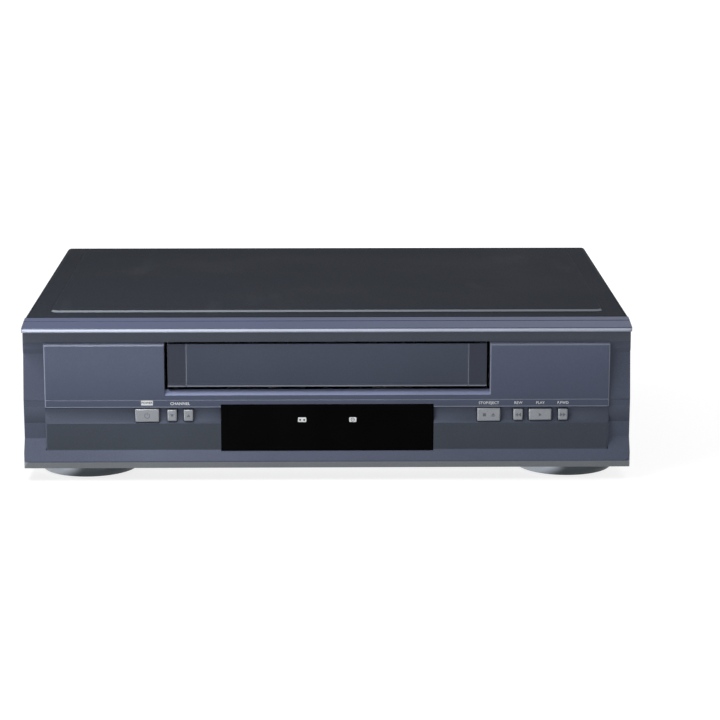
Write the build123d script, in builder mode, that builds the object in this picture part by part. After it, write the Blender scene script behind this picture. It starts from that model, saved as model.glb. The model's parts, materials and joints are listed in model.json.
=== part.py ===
from build123d import *
from math import atan2, cos, degrees, hypot, pi, radians, sin
import os

os.makedirs("parts", exist_ok=True)

# A home VHS video cassette recorder. It is seen from the front along +Y, with +X to the right
# and +Z up. The origin is at the middle of its length and width, on the surface it stands on.

# ---- the cassette that it takes, and its way in ----
cassette_w = 187.0
cassette_d = 103.0
cassette_h = 25.0
slot_side_gap = 2.6        # slot wider than the cassette, each side
slot_below_gap = 1.2
slot_above_gap = 2.6
eject_reach = 20.0         # an ejected cassette stands out of the nose by this
carriage_travel = 79.0     # straight in
cassette_drop = 20.0       # then straight down

# ---- heights, from the surface up ----
foot_height = 8.0
sheet = 1.0                # steel of the case
board_standoff = 4.0
board_thick = 1.6
deck_clear = 12.4          # room for the flywheel between board and deck
deck_sheet = 1.2
cassette_seat = 7.8        # loaded cassette above the deck plate
lip_above_slot = 6.9
lip_edge = 2.7             # lip's blunt front edge
facet_rise = 2.6           # sloping top of the lip
cover_step = 1.2           # raised field of the top cover

# ---- lengths, from the nose backwards ----
face_set_back = 3.5        # main face behind the nose
band_set_back = 7.0        # dark band under the lip
seam_set_back = 20.4       # joint of front panel and cover
drum_behind_cassette = 45.0
deck_behind_drum = 44.0
rear_clear = 10.0          # deck to rear panel
connector_reach = 8.0      # connectors stand out of the rear panel

# ---- widths, from the middle outwards ----
holder_gap = 0.8
holder_sheet = 1.0
slide_gap = 1.0
slide_sheet = 1.0
bracket_gap = 1.0
bracket_sheet = 1.2
side_bay = 79.5            # room beside the deck for boards
strip_w = 13.0             # narrow strips at the ends of the front
window_w = 126.0

# ---- clearances ----
run_gap = 0.3              # between pieces that move past each other
pin_gap = 0.05             # hinge pins and shafts, on the radius
slot_gap = 0.1             # pins in slots, each side
fit_gap = 0.2              # pieces of the case that slip into each other
wall = 2.3                 # plastic wall

# ---- worked-out heights ----
floor_z = foot_height
pan_top_z = floor_z + sheet
board_z = pan_top_z + board_standoff
board_top_z = board_z + board_thick
deck_z = board_top_z + deck_clear
deck_top_z = deck_z + deck_sheet
loaded_z = deck_top_z + cassette_seat
eject_z = loaded_z + cassette_drop
slot_bottom_z = eject_z - slot_below_gap
slot_top_z = eject_z + cassette_h + slot_above_gap
lip_z = slot_top_z + lip_above_slot
nose_z = lip_z + lip_edge
bezel_top_z = nose_z + facet_rise
cover_z = bezel_top_z + fit_gap            # cover's border
height = cover_z + cover_step              # 97.2

# ---- worked-out widths ----
holder_in_x = cassette_w / 2 + holder_gap
holder_out_x = holder_in_x + holder_sheet
slide_in_x = holder_out_x + slide_gap
slide_out_x = slide_in_x + slide_sheet
bracket_in_x = slide_out_x + bracket_gap
bracket_out_x = bracket_in_x + bracket_sheet
case_in_x = bracket_out_x + side_bay
case_out_x = case_in_x + sheet
bezel_x = case_out_x                       # 180.0, at the front panel's foot
panel_x = bezel_x - strip_w
slot_x = cassette_w / 2 + slot_side_gap
window_x = window_w / 2

# ---- worked-out lengths; the whole is centred on the origin ----
rear_reach = (
    cassette_d - eject_reach + carriage_travel + drum_behind_cassette + deck_behind_drum
    + rear_clear + sheet
)
depth = rear_reach + connector_reach       # 270.0
nose_y = -depth / 2
face_y = nose_y + face_set_back
band_y = nose_y + band_set_back
seam_y = nose_y + seam_set_back
eject_in_y = nose_y - eject_reach + cassette_d
loaded_in_y = eject_in_y + carriage_travel
drum_y = loaded_in_y + drum_behind_cassette
deck_rear_y = drum_y + deck_behind_drum
rear_y = nose_y + rear_reach               # outer face of the rear panel
rear_in_y = rear_y - sheet
back_y = depth / 2


def facing(y):
    """The upright plane at y, with its normal towards the front."""
    return Plane((0, y, 0), x_dir=(1, 0, 0), z_dir=(0, -1, 0))


def outline(points):
    """A closed face through the points, in the sketch that is being built."""
    with BuildLine() as path:
        Polyline(*points, close=True)
    make_face(path.edges())


def slab(x0, x1, y0, y1, z0, z1, mode=Mode.ADD):
    """A block between two corners, in the part that is being built."""
    with Locations(((x0 + x1) / 2, (y0 + y1) / 2, (z0 + z1) / 2)):
        Box(abs(x1 - x0), abs(y1 - y0), abs(z1 - z0), mode=mode)


def post(x, y, z0, z1, radius, mode=Mode.ADD):
    """An upright round bar, in the part that is being built."""
    with Locations((x, y, (z0 + z1) / 2)):
        Cylinder(radius, z1 - z0, mode=mode)


# ================= front panel =================

bezel_bottom_z = floor_z + run_gap
kick_h = 4.2               # chamfer along the bottom edge
kick_in = 2.0
ledge_edge = 0.5           # blunt front of the bottom ledge
ledge_rise = 4.5
strip_foot_rise = 13.1     # the strips' own lower slope
strip_waist = 6.7          # strip's ridge below the slot
strip_lean = 21.9          # strip's upper slope, above the slot's bottom
band_drop = 0.65           # main face starts below the slot's top
nose_facet = 1.6           # bright slope along the lip's front edge
face_edge = 0.9            # chamfer round the main face
corner_r = 3.6             # corners of the front, seen from above
side_relief = 0.7          # sides stand in behind the cover's, and flare out below the lip
sill_h = 2.5
sill_in = 4.3
line_drop = 5.5            # fine line under the slot
line_w = 0.4
groove_drop = 9.9         # top of the button groove under the slot
groove_h = 9.7
groove_in = 2.4
window_drop = 8.2
window_h = 28.4
facet_groove_set_back = 13.5
tongue_len = 10.0          # tongue under the cover
tongue_wall = 2.0
lug_t = 2.8                # door pivots

ledge_z = bezel_bottom_z + kick_h
face_top_z = slot_top_z - band_drop
face_edge_z = ledge_z + ledge_edge + ledge_rise + face_edge   # the side chamfers start here
sill_z = slot_bottom_z - sill_h
line_z = slot_bottom_z - line_drop
groove_top_z = slot_bottom_z - groove_drop
groove_low_z = groove_top_z - groove_h
groove_mid_z = (groove_top_z + groove_low_z) / 2
window_top_z = slot_bottom_z - window_drop
window_low_z = window_top_z - window_h
top_wall = 1.8
band_in_y = band_y + top_wall
bezel_in_top_z = bezel_top_z - facet_rise
groove_back_y = face_y + groove_in + wall

pivot_r = 1.2
hub_r = 1.9
door_set_back = 1.2        # door behind the main face
door_thick = 2.2
door_top_gap = 0.8
door_low_gap = 2.4
door_side_gap = 1.9
door_y = face_y + door_set_back
hinge_y = band_in_y + 0.4 + hub_r
hinge_z = eject_z + cassette_h + door_top_gap + hinge_y - door_y

ear_t = 2.0
ear_side_gap = 2.5
ear_out_x = slot_x - ear_side_gap
lug_in_x = ear_out_x + run_gap

shell_profile = [
    (seam_y, bezel_bottom_z),
    (nose_y + kick_in, bezel_bottom_z),
    (nose_y, ledge_z),
    (nose_y, ledge_z + ledge_edge),
    (band_y, ledge_z + strip_foot_rise),
    (face_y + 1.9, slot_bottom_z - strip_waist),
    (face_y + 1.6, slot_bottom_z - line_drop),
    (band_y + 1.2, slot_bottom_z + strip_lean),
    (band_y, slot_top_z - 4.0),
    (band_y, lip_z),
    (nose_y + 0.5, lip_z + 0.1),
    (nose_y, lip_z + 0.6),
    (nose_y, nose_z - nose_facet),
    (nose_y + nose_facet, nose_z),
    (nose_y + facet_groove_set_back - 0.5, bezel_top_z - 0.9),
    (nose_y + facet_groove_set_back - 0.3, bezel_top_z - 1.4),
    (nose_y + facet_groove_set_back + 0.1, bezel_top_z - 1.4),
    (nose_y + facet_groove_set_back + 0.3, bezel_top_z - 0.75),
    (seam_y, bezel_top_z),
]
face_profile = [
    (band_y + 1.0, ledge_z + ledge_edge),
    (nose_y, ledge_z + ledge_edge),
    (face_y, ledge_z + ledge_edge + ledge_rise),
    (face_y, face_top_z - face_edge),
    (face_y + face_edge, face_top_z),
    (band_y + 1.0, face_top_z),
]
hollow_profile = [
    (seam_y + 1.0, bezel_bottom_z + wall),
    (nose_y + kick_in + 1.6, bezel_bottom_z + wall),
    (nose_y + wall, ledge_z - 0.2),
    (band_in_y + 0.5, ledge_z + strip_foot_rise - 0.6),
    (band_in_y + 0.5, slot_bottom_z),
    (band_in_y, slot_top_z - 4.0),
    (band_in_y, bezel_in_top_z),
    (seam_y + 1.0, bezel_in_top_z),
]
inner_x = bezel_x - side_relief - wall
tongue_x = case_in_x - fit_gap
tongue_z = cover_z - sheet - fit_gap / 2

# buttons: name, distance from the window's edge, width, height
cap_out = 0.6              # caps stand out of the main face
press = 0.8                # travel
small_w = 5.6
small_h = 6.8
large_h = 7.9
left_buttons = [
    ("channel_up_button", 19.2, small_w, small_h),
    ("channel_down_button", 28.9, small_w, small_h),
    ("power_button", 43.6, 14.2, large_h),
]
right_buttons = [
    ("stop_button", 32.6, 13.7, large_h),
    ("rewind_button", 50.0, small_w, small_h),
    ("play_button", 63.1, 13.4, small_h),
    ("forward_button", 76.6, small_w, small_h),
]
buttons = [(name, -window_x - reach, w, h) for name, reach, w, h in left_buttons]
buttons += [(name, window_x + reach, w, h) for name, reach, w, h in right_buttons]

board_post_r = 3.0
board_post_x = [-window_x - 60.0, -window_x - 10.0, window_x + 10.0, window_x + 90.0]
window_flange = 2.4
window_flange_t = 1.0
window_plate_y = groove_back_y


lug_reach = 3.4
board_post_z = groove_low_z - 6.0
door_x = slot_x - door_side_gap
door_low_z = slot_bottom_z + door_low_gap
door_top_z = slot_top_z - door_top_gap
door_lip = 0.5
door_lip_h = 2.1
door_seam_x = slot_x - 12.8
ear_root = 7.5
door_swing = hypot(hinge_y - door_y + door_lip, hinge_z - door_low_z)

spring_mean_r = 1.45
spring_wire_r = 0.3
spring_turns = 6
spring_pitch = 0.9
spring_stub_r = 1.0

flange_y = band_in_y + 0.5 + run_gap
flange_t = 1.2
flange_out = 0.9
stem_r = 1.5
stem_y = flange_y + flange_t + 0.8
tact_w = 6.0
tact_body = 3.5
tact_plunger = 1.0
front_board_y = stem_y + press + slot_gap + tact_plunger + tact_body

# ---- case: where the pieces stand ----
pan_x = case_in_x - fit_gap
pan_front_y = seam_y + fit_gap
pan_flange_h = 12.0
flange_front_y = seam_y + tongue_len + 1.0
standoff_r = 3.0
deck_post_r = 4.0
vent_w = 2.5
vent_l = 22.0
vent_pitch = 6.0
vent_row_pitch = 60.0
vent_columns = 9

foot_r = 31.0
foot_rim_h = 3.0
foot_taper = 27.0
foot_inset = 36.0
foot_front = 39.0
foot_rear = 35.5
foot_recess_z = 5.0
foot_screw_r = 1.8
foot_screw_head = 2.0
pad_r = 24.0
pad_hole_r = 10.0
pad_out = 0.8
pad_in = 1.0
foot_places = [
    (side * (bezel_x - foot_inset), y)
    for side in (-1, 1) for y in (nose_y + foot_front, rear_y - foot_rear)
]
screw_r = 1.4
screw_head_r = 3.4
screw_head_t = 0.8
screw_len = 7.0
cross_l = 2.4              # half length and half width of the head's cross
cross_w = 0.4
cross_deep = 0.5
screw_z = pan_top_z + pan_flange_h - 5.0
screw_inset = 30.0
cover_screw_places = [
    (side, y) for side in (-1, 1)
    for y in (flange_front_y + screw_inset, rear_in_y - screw_inset)
]

# ---- deck: where the pieces stand ----
holder_front_y = hinge_y + door_swing + 1.2
deck_x = bracket_out_x + 6.0
deck_front_y = holder_front_y - 2.6
deck_posts = [
    (side * (bracket_out_x + 2.5), y)
    for side in (-1, 1) for y in (deck_front_y + 7.0, deck_rear_y - 8.0)
]

main_x0 = -bracket_out_x + 2.0
main_x1 = case_in_x - 6.0
main_y0 = seam_y + tongue_len + 2.0
main_y1 = rear_in_y - 4.0
power_x0 = -case_in_x + 6.0
power_x1 = -deck_x - 3.0
power_y0 = main_y1 - 120.0
board_edge = 5.0
main_standoffs = [
    (x, y)
    for x in (main_x0 + board_edge, deck_x + 8.0, main_x1 - board_edge)
    for y in (main_y0 + board_edge, main_y1 - board_edge)
]
power_standoffs = [
    (x, y)
    for x in (power_x0 + board_edge, power_x1 - board_edge)
    for y in (power_y0 + board_edge, main_y1 - board_edge)
]
transformer_x = (power_x0 + power_x1) / 2
transformer_inset = 42.0
transformer_y = power_y0 + transformer_inset
core_l = 40.0
core_w = 18.0
core_h = 34.0
winding_l = 26.0
winding_w = 32.0
winding_edge = 5.0         # core above and below the winding
sink_x = power_x0 + 4.0
sink_inset = 85.0
sink_y = power_y0 + sink_inset
sink_l = 42.0
sink_h = 30.0
sink_plate = 4.0
fin_l = 12.0
fin_t = 1.6
fins = 7
mains_row = 14.0           # capacitors before and behind the transformer
output_row = 72.0
small_capacitor_r = 5.0
small_capacitor_h = 16.0
middle_capacitor_r = 6.0
middle_capacitor_h = 20.0
large_capacitor_r = 8.0
large_capacitor_h = 26.0
capacitor_step = 14.0
capacitor_places = [
    (transformer_x + capacitor_step, power_y0 + mains_row, large_capacitor_r,
     large_capacitor_h),
    (transformer_x - capacitor_step / 2, power_y0 + mains_row, middle_capacitor_r,
     middle_capacitor_h),
    (transformer_x + capacitor_step / 2, power_y0 + output_row, small_capacitor_r,
     small_capacitor_h),
    (transformer_x + 3 * capacitor_step / 2, power_y0 + output_row, small_capacitor_r,
     small_capacitor_h),
]

# ---- connectors ----
jack_r = 4.15
jack_bore_r = 1.7
jack_ring_r = 5.2
jack_ring_t = 1.0
jack_pitch_x = 14.0
jack_pitch_z = 15.0
jack_block_d = 20.0
jack_block_x0 = deck_x + 3.5
jack_block_x1 = jack_block_x0 + 2 * jack_pitch_x
jack_places = [
    (jack_block_x0 + (column + 0.5) * jack_pitch_x, board_top_z + (row + 0.6) * jack_pitch_z)
    for row in range(3) for column in range(2)
]
rf_r = 4.75
rf_bore_r = 1.4
rf_nut_r = 6.8
rf_nut_t = 2.0
tuner_l = 62.0
tuner_h = 46.0
tuner_x0 = jack_block_x1 + 6.0
tuner_x1 = tuner_x0 + 18.0
rf_x = (tuner_x0 + tuner_x1) / 2
rf_heights = [board_top_z + 12.0, board_top_z + 34.0]
inlet_w = 22.0
inlet_h = 14.0
inlet_d = 14.0
inlet_lip = 2.0
inlet_x = transformer_x
inlet_z = board_top_z + inlet_h / 2
inlet_socket_w = 15.6
inlet_socket_h = 8.6
inlet_socket_d = 10.0
inlet_pin_r = 1.2
inlet_pin_x = 4.3
rear_vents = 17
rear_vent_h = 24.0
rear_vent_z = (pan_top_z + cover_z) / 2

cable_x = 40.0
cable_w = 24.0
cable_t = 0.6
cable_top_z = board_top_z + 11.0

front_board_back_y = front_board_y + board_thick
front_board_x = inner_x - 8.0
front_board_low_z = bezel_bottom_z + 9.0
front_board_drop = 2.5
tube_inset = 11.0
tube_d = 5.5

# ---- tape path, seen from above ----
reel_x = 46.2
reel_behind_front = 45.0               # reel centres behind the loaded cassette's outer edge
loaded_out_y = loaded_in_y - cassette_d
reel_y = loaded_out_y + reel_behind_front
reel_rim_r = 18.0
reel_hub_r = 9.0
reel_key_r = 6.2
spindle_r = 1.5
reel_low_z = deck_top_z + 1.2
reel_rim_h = 3.0
reel_hub_z = loaded_z - 0.6
reel_top_z = loaded_z + 8.5
seat_x = 68.0
seat_r = 2.0

capstan_x = 58.0
capstan_y = loaded_in_y + 10.0
capstan_r = 1.5
capstan_top_z = loaded_z + 21.0
flywheel_r = 24.0
flywheel_z = board_top_z + 1.8
flywheel_h = 4.4
pulley_r = 7.0
pulley_h = 3.2
neck_r = 5.5
neck_top_z = loaded_z
housing_r = 10.0
housing_z = flywheel_z + flywheel_h + pulley_h + run_gap

clutch_y = reel_y + 23.0
clutch_r = 15.0
clutch_pulley_z = flywheel_z + flywheel_h + 0.1
clutch_shaft_r = 2.5
clutch_gear_r = 6.0
idler_r = 14.0
idler_arm_len = clutch_gear_r + idler_r + run_gap
idler_z = reel_low_z + 0.2
idler_arm_t = 0.9
idler_pin_r = 1.2
idler_swing = 49.0
belt_t = 1.0
belt_h = 2.2

drum_r = 31.0
drum_lift = 9.0
drum_lean = Vector(sin(radians(2.3)), -sin(radians(5.4)), 1.0)
lower_drum_h = 14.0
upper_drum_h = 13.0
drum_hub_h = 4.0
drum_shaft_r = 3.0
drum_plane = Plane((0, drum_y, deck_top_z + drum_lift), x_dir=(1, 0, 0), z_dir=drum_lean)

post_start_x = 30.0
post_start_y = loaded_in_y - 7.0
post_end_x = 47.0
post_end_y = drum_y + 20.0
post_block = 10.0
rail_h = 1.4
rail_w = 16.0
track_w = 3.0
tongue_in = 0.8
roller_r = 3.0
post_top_z = loaded_z + 20.0
post_travel = hypot(post_end_x - post_start_x, post_end_y - post_start_y)
post_heading = degrees(atan2(post_end_y - post_start_y, post_end_x - post_start_x))

pinch_pivot_x = capstan_x + 26.0
pinch_pivot_y = capstan_y + 21.0
pinch_r = 6.5
pinch_reach = 25.8
pinch_swing = 25.0
pinch_pressed = -147.7
pinch_link_z = deck_top_z + 9.8
pinch_link_h = 2.0
pinch_pin_r = 1.0
pivot_post_r = 2.0

tension_pivot_x = 29.5 - deck_x
tension_pivot_y = loaded_in_y + 13.0
tension_reach = 20.0
tension_rest = -33.0
head_w = 12.0
head_d = 8.0
head_h = 18.0
head_foot_h = 12.0
audio_head_x = 56.0
audio_head_y = drum_y + 1.0
erase_head_x = -54.0
erase_head_y = drum_y - 10.0
fixed_posts = [
    (-52.0, loaded_in_y + 19.0), (47.0, loaded_in_y + 21.0), (66.0, loaded_in_y + 58.0),
]

cam_x = 25.5 - deck_x
cam_y = drum_y + 16.0
cam_r = 18.0
cam_low_z = deck_top_z + 7.3
cam_h = 6.0
cam_axle_r = 2.5
cam_teeth = 30
tooth_h = 1.2
worm_r = 4.0
worm_l = 26.0
worm_shaft_r = 1.2
worm_rings = 7
worm_ring_w = 1.6
worm_ring_deep = 1.2
worm_block_t = 3.0
worm_block_gap = 1.5
worm_y = cam_y + cam_r + tooth_h + worm_r + run_gap
worm_z = cam_low_z + cam_h / 2
motor_r = 10.0
motor_l = 25.0
motor_x0 = cam_x + worm_l / 2 + 4.0

# ---- cassette carriage ----
pin_r = 1.5
holder_pin_z = eject_z + cassette_h / 2
holder_front_pin_y = holder_front_y + 6.0
holder_pin_pitch = 46.0
holder_rear_pin_y = holder_front_pin_y + holder_pin_pitch
holder_rear_y = holder_rear_pin_y + 4.0
holder_floor_w = 22.0
holder_roof_z = eject_z + cassette_h + 0.5
holder_roof_rear_y = eject_in_y + 2.5
roof_slot_x = 20.0
roof_slot_w = 14.0
stop_w = 12.0
stop_h = 6.0
frame_front_y = holder_front_y + 3.0
frame_rear_y = holder_rear_y + 1.0
frame_low_z = loaded_z - 1.8
frame_top_z = holder_roof_z + holder_sheet + 0.5 + slide_sheet
frame_bar_w = 10.0
frame_pin_z = holder_pin_z + 11.0
frame_front_pin_y = frame_front_y + 6.0
frame_rear_pin_y = frame_rear_y - 6.0
bracket_front_y = holder_front_y - 1.0
bracket_rear_y = holder_rear_pin_y + carriage_travel + 8.0
bracket_top_z = frame_top_z + 1.6
bracket_foot = 5.0
bridge_w = 20.0
bridge_t = 1.2

with BuildPart() as front_hollow:
    with BuildSketch(Plane.YZ):
        outline(hollow_profile)
    extrude(amount=inner_x, both=True)
    with BuildSketch(Plane.XY) as hollow_plan:
        with Locations((0, (nose_y + wall + seam_y + wall) / 2)):
            Rectangle(2 * inner_x, seam_y - nose_y)
        fillet(hollow_plan.vertices().group_by(Axis.Y)[0], corner_r - wall)
    extrude(amount=height, mode=Mode.INTERSECT)

with BuildPart() as front_panel:
    with BuildSketch(Plane.YZ):
        outline(shell_profile)
    extrude(amount=bezel_x, both=True)
    with BuildSketch(Plane.YZ):
        outline(face_profile)
    extrude(amount=panel_x, both=True)
    # rounded corners in plan; the sides stand in, and flare out below the lip
    with BuildSketch(Plane.XY) as plan:
        with Locations((0, (nose_y + seam_y) / 2)):
            Rectangle(2 * bezel_x, seam_set_back)
        fillet(plan.vertices().group_by(Axis.Y)[0], corner_r)
    extrude(amount=height, mode=Mode.INTERSECT)
    for side in (-1, 1):
        with BuildSketch(Plane.XZ.offset(-seam_y - 1)):
            outline([(side * (bezel_x - side_relief), height), (side * (bezel_x + 1), height),
                     (side * (bezel_x + 1), 0), (side * bezel_x, 0),
                     (side * (bezel_x - side_relief), lip_z)])
        extrude(amount=seam_set_back + 2, mode=Mode.SUBTRACT)
        with BuildSketch(Plane.XY.offset(face_edge_z)):
            outline([(side * panel_x, face_y - 0.1), (side * panel_x, face_y + face_edge),
                     (side * (panel_x - face_edge - 0.1), face_y - 0.1)])
        extrude(amount=face_top_z + 1 - face_edge_z, mode=Mode.SUBTRACT)
    add(front_hollow.part, mode=Mode.SUBTRACT)
    # thinner walls beside the slot, and the seat of the window
    for side in (-1, 1):
        slab(side * (slot_x + wall), side * (panel_x - wall), face_y + wall, band_in_y + 1,
             groove_top_z + wall, face_top_z - wall, mode=Mode.SUBTRACT)
    slab(-window_x - window_flange - fit_gap, window_x + window_flange + fit_gap,
         window_plate_y, band_in_y + 1, window_low_z - window_flange - fit_gap,
         window_top_z + window_flange + fit_gap, mode=Mode.SUBTRACT)
    slab(-window_x, window_x, nose_y - 1, seam_y, window_low_z, window_top_z,
         mode=Mode.SUBTRACT)
    # cassette slot and the slope under it
    slab(-slot_x, slot_x, nose_y - 1, seam_y, slot_bottom_z, slot_top_z, mode=Mode.SUBTRACT)
    with BuildSketch(Plane.YZ):
        outline([(face_y - 0.1, sill_z), (face_y + sill_in, slot_bottom_z),
                 (face_y - 0.1, slot_bottom_z)])
    extrude(amount=slot_x, both=True, mode=Mode.SUBTRACT)
    # button groove on both sides of the window
    for start in (-panel_x, window_x):
        with BuildSketch(Plane.YZ.offset(start)):
            with BuildLine():
                Polyline((face_y, groove_low_z), (face_y - 1, groove_low_z),
                         (face_y - 1, groove_top_z), (face_y, groove_top_z),
                         (face_y + groove_in - 0.5, groove_top_z - 1.0))
                ThreePointArc((face_y + groove_in - 0.5, groove_top_z - 1.0),
                              (face_y + groove_in - 0.3, groove_mid_z),
                              (face_y, groove_low_z))
            make_face()
        extrude(amount=panel_x - window_x, mode=Mode.SUBTRACT)
    slab(-panel_x, panel_x, face_y - 1, face_y + line_w, line_z - line_w / 2,
         line_z + line_w / 2, mode=Mode.SUBTRACT)
    for name, x, w, h in buttons:
        slab(x - w / 2 - run_gap, x + w / 2 + run_gap, nose_y - 1, seam_y,
             groove_mid_z - h / 2 - run_gap, groove_mid_z + h / 2 + run_gap, mode=Mode.SUBTRACT)
    # posts for the upright board
    for x in board_post_x:
        with BuildSketch(facing(front_board_y)):
            with Locations((x, board_post_z)):
                Circle(board_post_r)
        extrude(amount=front_board_y - band_in_y)
    # tongue under the cover
    with BuildSketch(facing(seam_y + tongue_len)) as tongue:
        with Locations((0, (tongue_z + pan_top_z + 1) / 2)):
            Rectangle(2 * tongue_x, tongue_z - pan_top_z - 1)
        with Locations((0, (tongue_z - tongue_wall) / 2)):
            Rectangle(2 * (tongue_x - tongue_wall), tongue_z - tongue_wall, mode=Mode.SUBTRACT)
        fillet(tongue.vertices().filter_by_position(Axis.Y, tongue_z - 0.1, tongue_z + 0.1), 2)
    extrude(amount=tongue_len + 3)
    # door pivots
    for side in (-1, 1):
        slab(side * lug_in_x, side * (lug_in_x + lug_t), band_in_y - 0.3, hinge_y + lug_reach,
             hinge_z - lug_reach, bezel_in_top_z + 0.3)
    with Locations(Location((0, hinge_y, hinge_z), (0, 90, 0))):
        Cylinder(pivot_r + pin_gap, 2 * (lug_in_x + lug_t + 1), mode=Mode.SUBTRACT)
front_panel.part.label = "front_panel"
export_step(front_panel.part, "parts/front_panel.step")

# ---- display window: a smoked lens with a flange behind the panel ----
with BuildPart() as display_window:
    slab(-window_x + fit_gap, window_x - fit_gap, face_y + 0.1, window_plate_y,
         window_low_z + fit_gap, window_top_z - fit_gap)
    chamfer(display_window.faces().sort_by(Axis.Y)[0].edges(), 0.3)
    slab(-window_x - window_flange, window_x + window_flange, window_plate_y,
         window_plate_y + window_flange_t, window_low_z - window_flange,
         window_top_z + window_flange)
display_window.part.label = "display_window"
export_step(display_window.part, "parts/display_window.step")

# ---- buttons: a cap in the groove, a flange behind the wall and a short stem ----
for name, x, w, h in buttons:
    with BuildPart() as button:
        slab(x - w / 2, x + w / 2, face_y - cap_out, flange_y + flange_t,
             groove_mid_z - h / 2, groove_mid_z + h / 2)
        fillet(button.faces().sort_by(Axis.Y)[0].edges(), 0.8)
        slab(x - w / 2 - flange_out, x + w / 2 + flange_out, flange_y, flange_y + flange_t,
             groove_mid_z - h / 2 - flange_out, groove_mid_z + h / 2 + flange_out)
        with BuildSketch(facing(stem_y)):
            with Locations((x, groove_mid_z)):
                Circle(stem_r)
        extrude(amount=stem_y - flange_y)
    button.part.label = name
    export_step(button.part, f"parts/{name}.step")

# ---- cassette door: a flap that swings inwards about pins above the slot ----
with BuildPart() as cassette_door:
    slab(-door_x, door_x, door_y, door_y + door_thick, door_low_z, door_top_z)
    slab(-door_x, door_x, door_y - door_lip, door_y, door_low_z, door_low_z + door_lip_h)
    for side in (-1, 1):
        slab(side * (door_seam_x - line_w / 2), side * (door_seam_x + line_w / 2),
             door_y - door_lip, door_y + line_w, door_low_z - 1, door_top_z + 1,
             mode=Mode.SUBTRACT)
    for start in (-ear_out_x, ear_out_x - ear_t):
        with BuildSketch(Plane.YZ.offset(start)):
            outline([
                (door_y + door_thick - 0.5, door_top_z - ear_root),
                (door_y + door_thick - 0.5, door_top_z - 0.1),
                (hinge_y - hub_r, door_top_z - 0.1),
                (hinge_y - hub_r, hinge_z),
                (hinge_y + hub_r, hinge_z),
                (hinge_y + hub_r, door_top_z - 1.5),
                (door_y + door_thick + 0.8, door_top_z - ear_root),
            ])
            with Locations((hinge_y, hinge_z)):
                Circle(hub_r)
        extrude(amount=ear_t)
    for start in (-lug_in_x - lug_t, ear_out_x - ear_t):
        with BuildSketch(Plane.YZ.offset(start)):
            with Locations((hinge_y, hinge_z)):
                Circle(pivot_r)
        extrude(amount=lug_in_x + lug_t - ear_out_x + ear_t)
    # stub that carries the spring
    with BuildSketch(Plane.YZ.offset(-ear_out_x + ear_t)):
        with Locations((hinge_y, hinge_z)):
            Circle(spring_stub_r)
    extrude(amount=spring_turns * spring_pitch + 1.0)
cassette_door.part.label = "cassette_door"
export_step(cassette_door.part, "parts/cassette_door.step")

# ---- door spring: a coil round the stub, its tail along the back of the door ----
with BuildPart() as door_spring:
    with BuildLine():
        coil = Helix(spring_pitch, spring_turns * spring_pitch, spring_mean_r,
                     center=(-ear_out_x + ear_t + 0.5, hinge_y, hinge_z), direction=(1, 0, 0))
    with BuildSketch(Plane(coil @ 0, z_dir=coil % 0)):
        Circle(spring_wire_r)
    sweep(path=coil, is_frenet=True)
door_spring.part.label = "door_spring"
export_step(door_spring.part, "parts/door_spring.step")

# ---- top cover: folded steel with a raised field ----
cover_front_y = seam_y + fit_gap
cover_low_z = floor_z + 0.5
bend_r = 3.0
field_inset = 14.0
with BuildPart() as top_cover:
    with BuildSketch(facing(rear_y)) as cover_section:
        with Locations((0, (cover_low_z + cover_z) / 2)):
            Rectangle(2 * case_out_x, cover_z - cover_low_z)
        fillet(cover_section.vertices().group_by(Axis.Y)[-1], bend_r)
    extrude(amount=rear_y - cover_front_y)
    with BuildSketch(facing(rear_y + 1)) as cover_inside:
        with Locations((0, (cover_z - sheet) / 2)):
            Rectangle(2 * case_in_x, cover_z - sheet)
        fillet(cover_inside.vertices().group_by(Axis.Y)[-1], bend_r - sheet)
    extrude(amount=rear_y - cover_front_y + 2, mode=Mode.SUBTRACT)
    for level, mode in ((cover_z, Mode.ADD), (cover_z - sheet, Mode.SUBTRACT)):
        with BuildSketch(Plane.XY.offset(level)) as field:
            with Locations((0, (cover_front_y + rear_y) / 2)):
                Rectangle(2 * (case_out_x - field_inset), rear_y - cover_front_y - 2 * field_inset)
            fillet(field.vertices(), 5)
        extrude(amount=cover_step, taper=45, mode=mode)
    for side, y in cover_screw_places:
        with Locations(Location((side * case_in_x, y, screw_z), (0, 90, 0))):
            Cylinder(screw_r + pin_gap, 6 * sheet, mode=Mode.SUBTRACT)
top_cover.part.label = "top_cover"
export_step(top_cover.part, "parts/top_cover.step")

# ---- bottom chassis: a pan with side flanges, board standoffs and deck posts ----
with BuildPart() as bottom_chassis:
    slab(-pan_x, pan_x, pan_front_y, rear_y, floor_z, pan_top_z)
    for side in (-1, 1):
        slab(side * (pan_x - sheet), side * pan_x, flange_front_y, rear_in_y, pan_top_z,
             pan_top_z + pan_flange_h)
    for x, y in main_standoffs + power_standoffs:
        post(x, y, pan_top_z, board_z, standoff_r)
    for x, y in deck_posts:
        post(x, y, pan_top_z, deck_z, deck_post_r)
    for x, y in foot_places:
        post(x, y, floor_z - 1, pan_top_z + 1, foot_screw_r + pin_gap, mode=Mode.SUBTRACT)
    with Locations((0, (pan_front_y + rear_y) / 2, floor_z + sheet / 2)):
        with GridLocations(2 * vent_pitch, vent_row_pitch, vent_columns, 2):
            Box(vent_w, vent_l, 3 * sheet, mode=Mode.SUBTRACT)
    for side, y in cover_screw_places:
        with Locations(Location((side * case_in_x, y, screw_z), (0, 90, 0))):
            Cylinder(screw_r + pin_gap, 6 * sheet, mode=Mode.SUBTRACT)
bottom_chassis.part.label = "bottom_chassis"
export_step(bottom_chassis.part, "parts/bottom_chassis.step")

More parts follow.
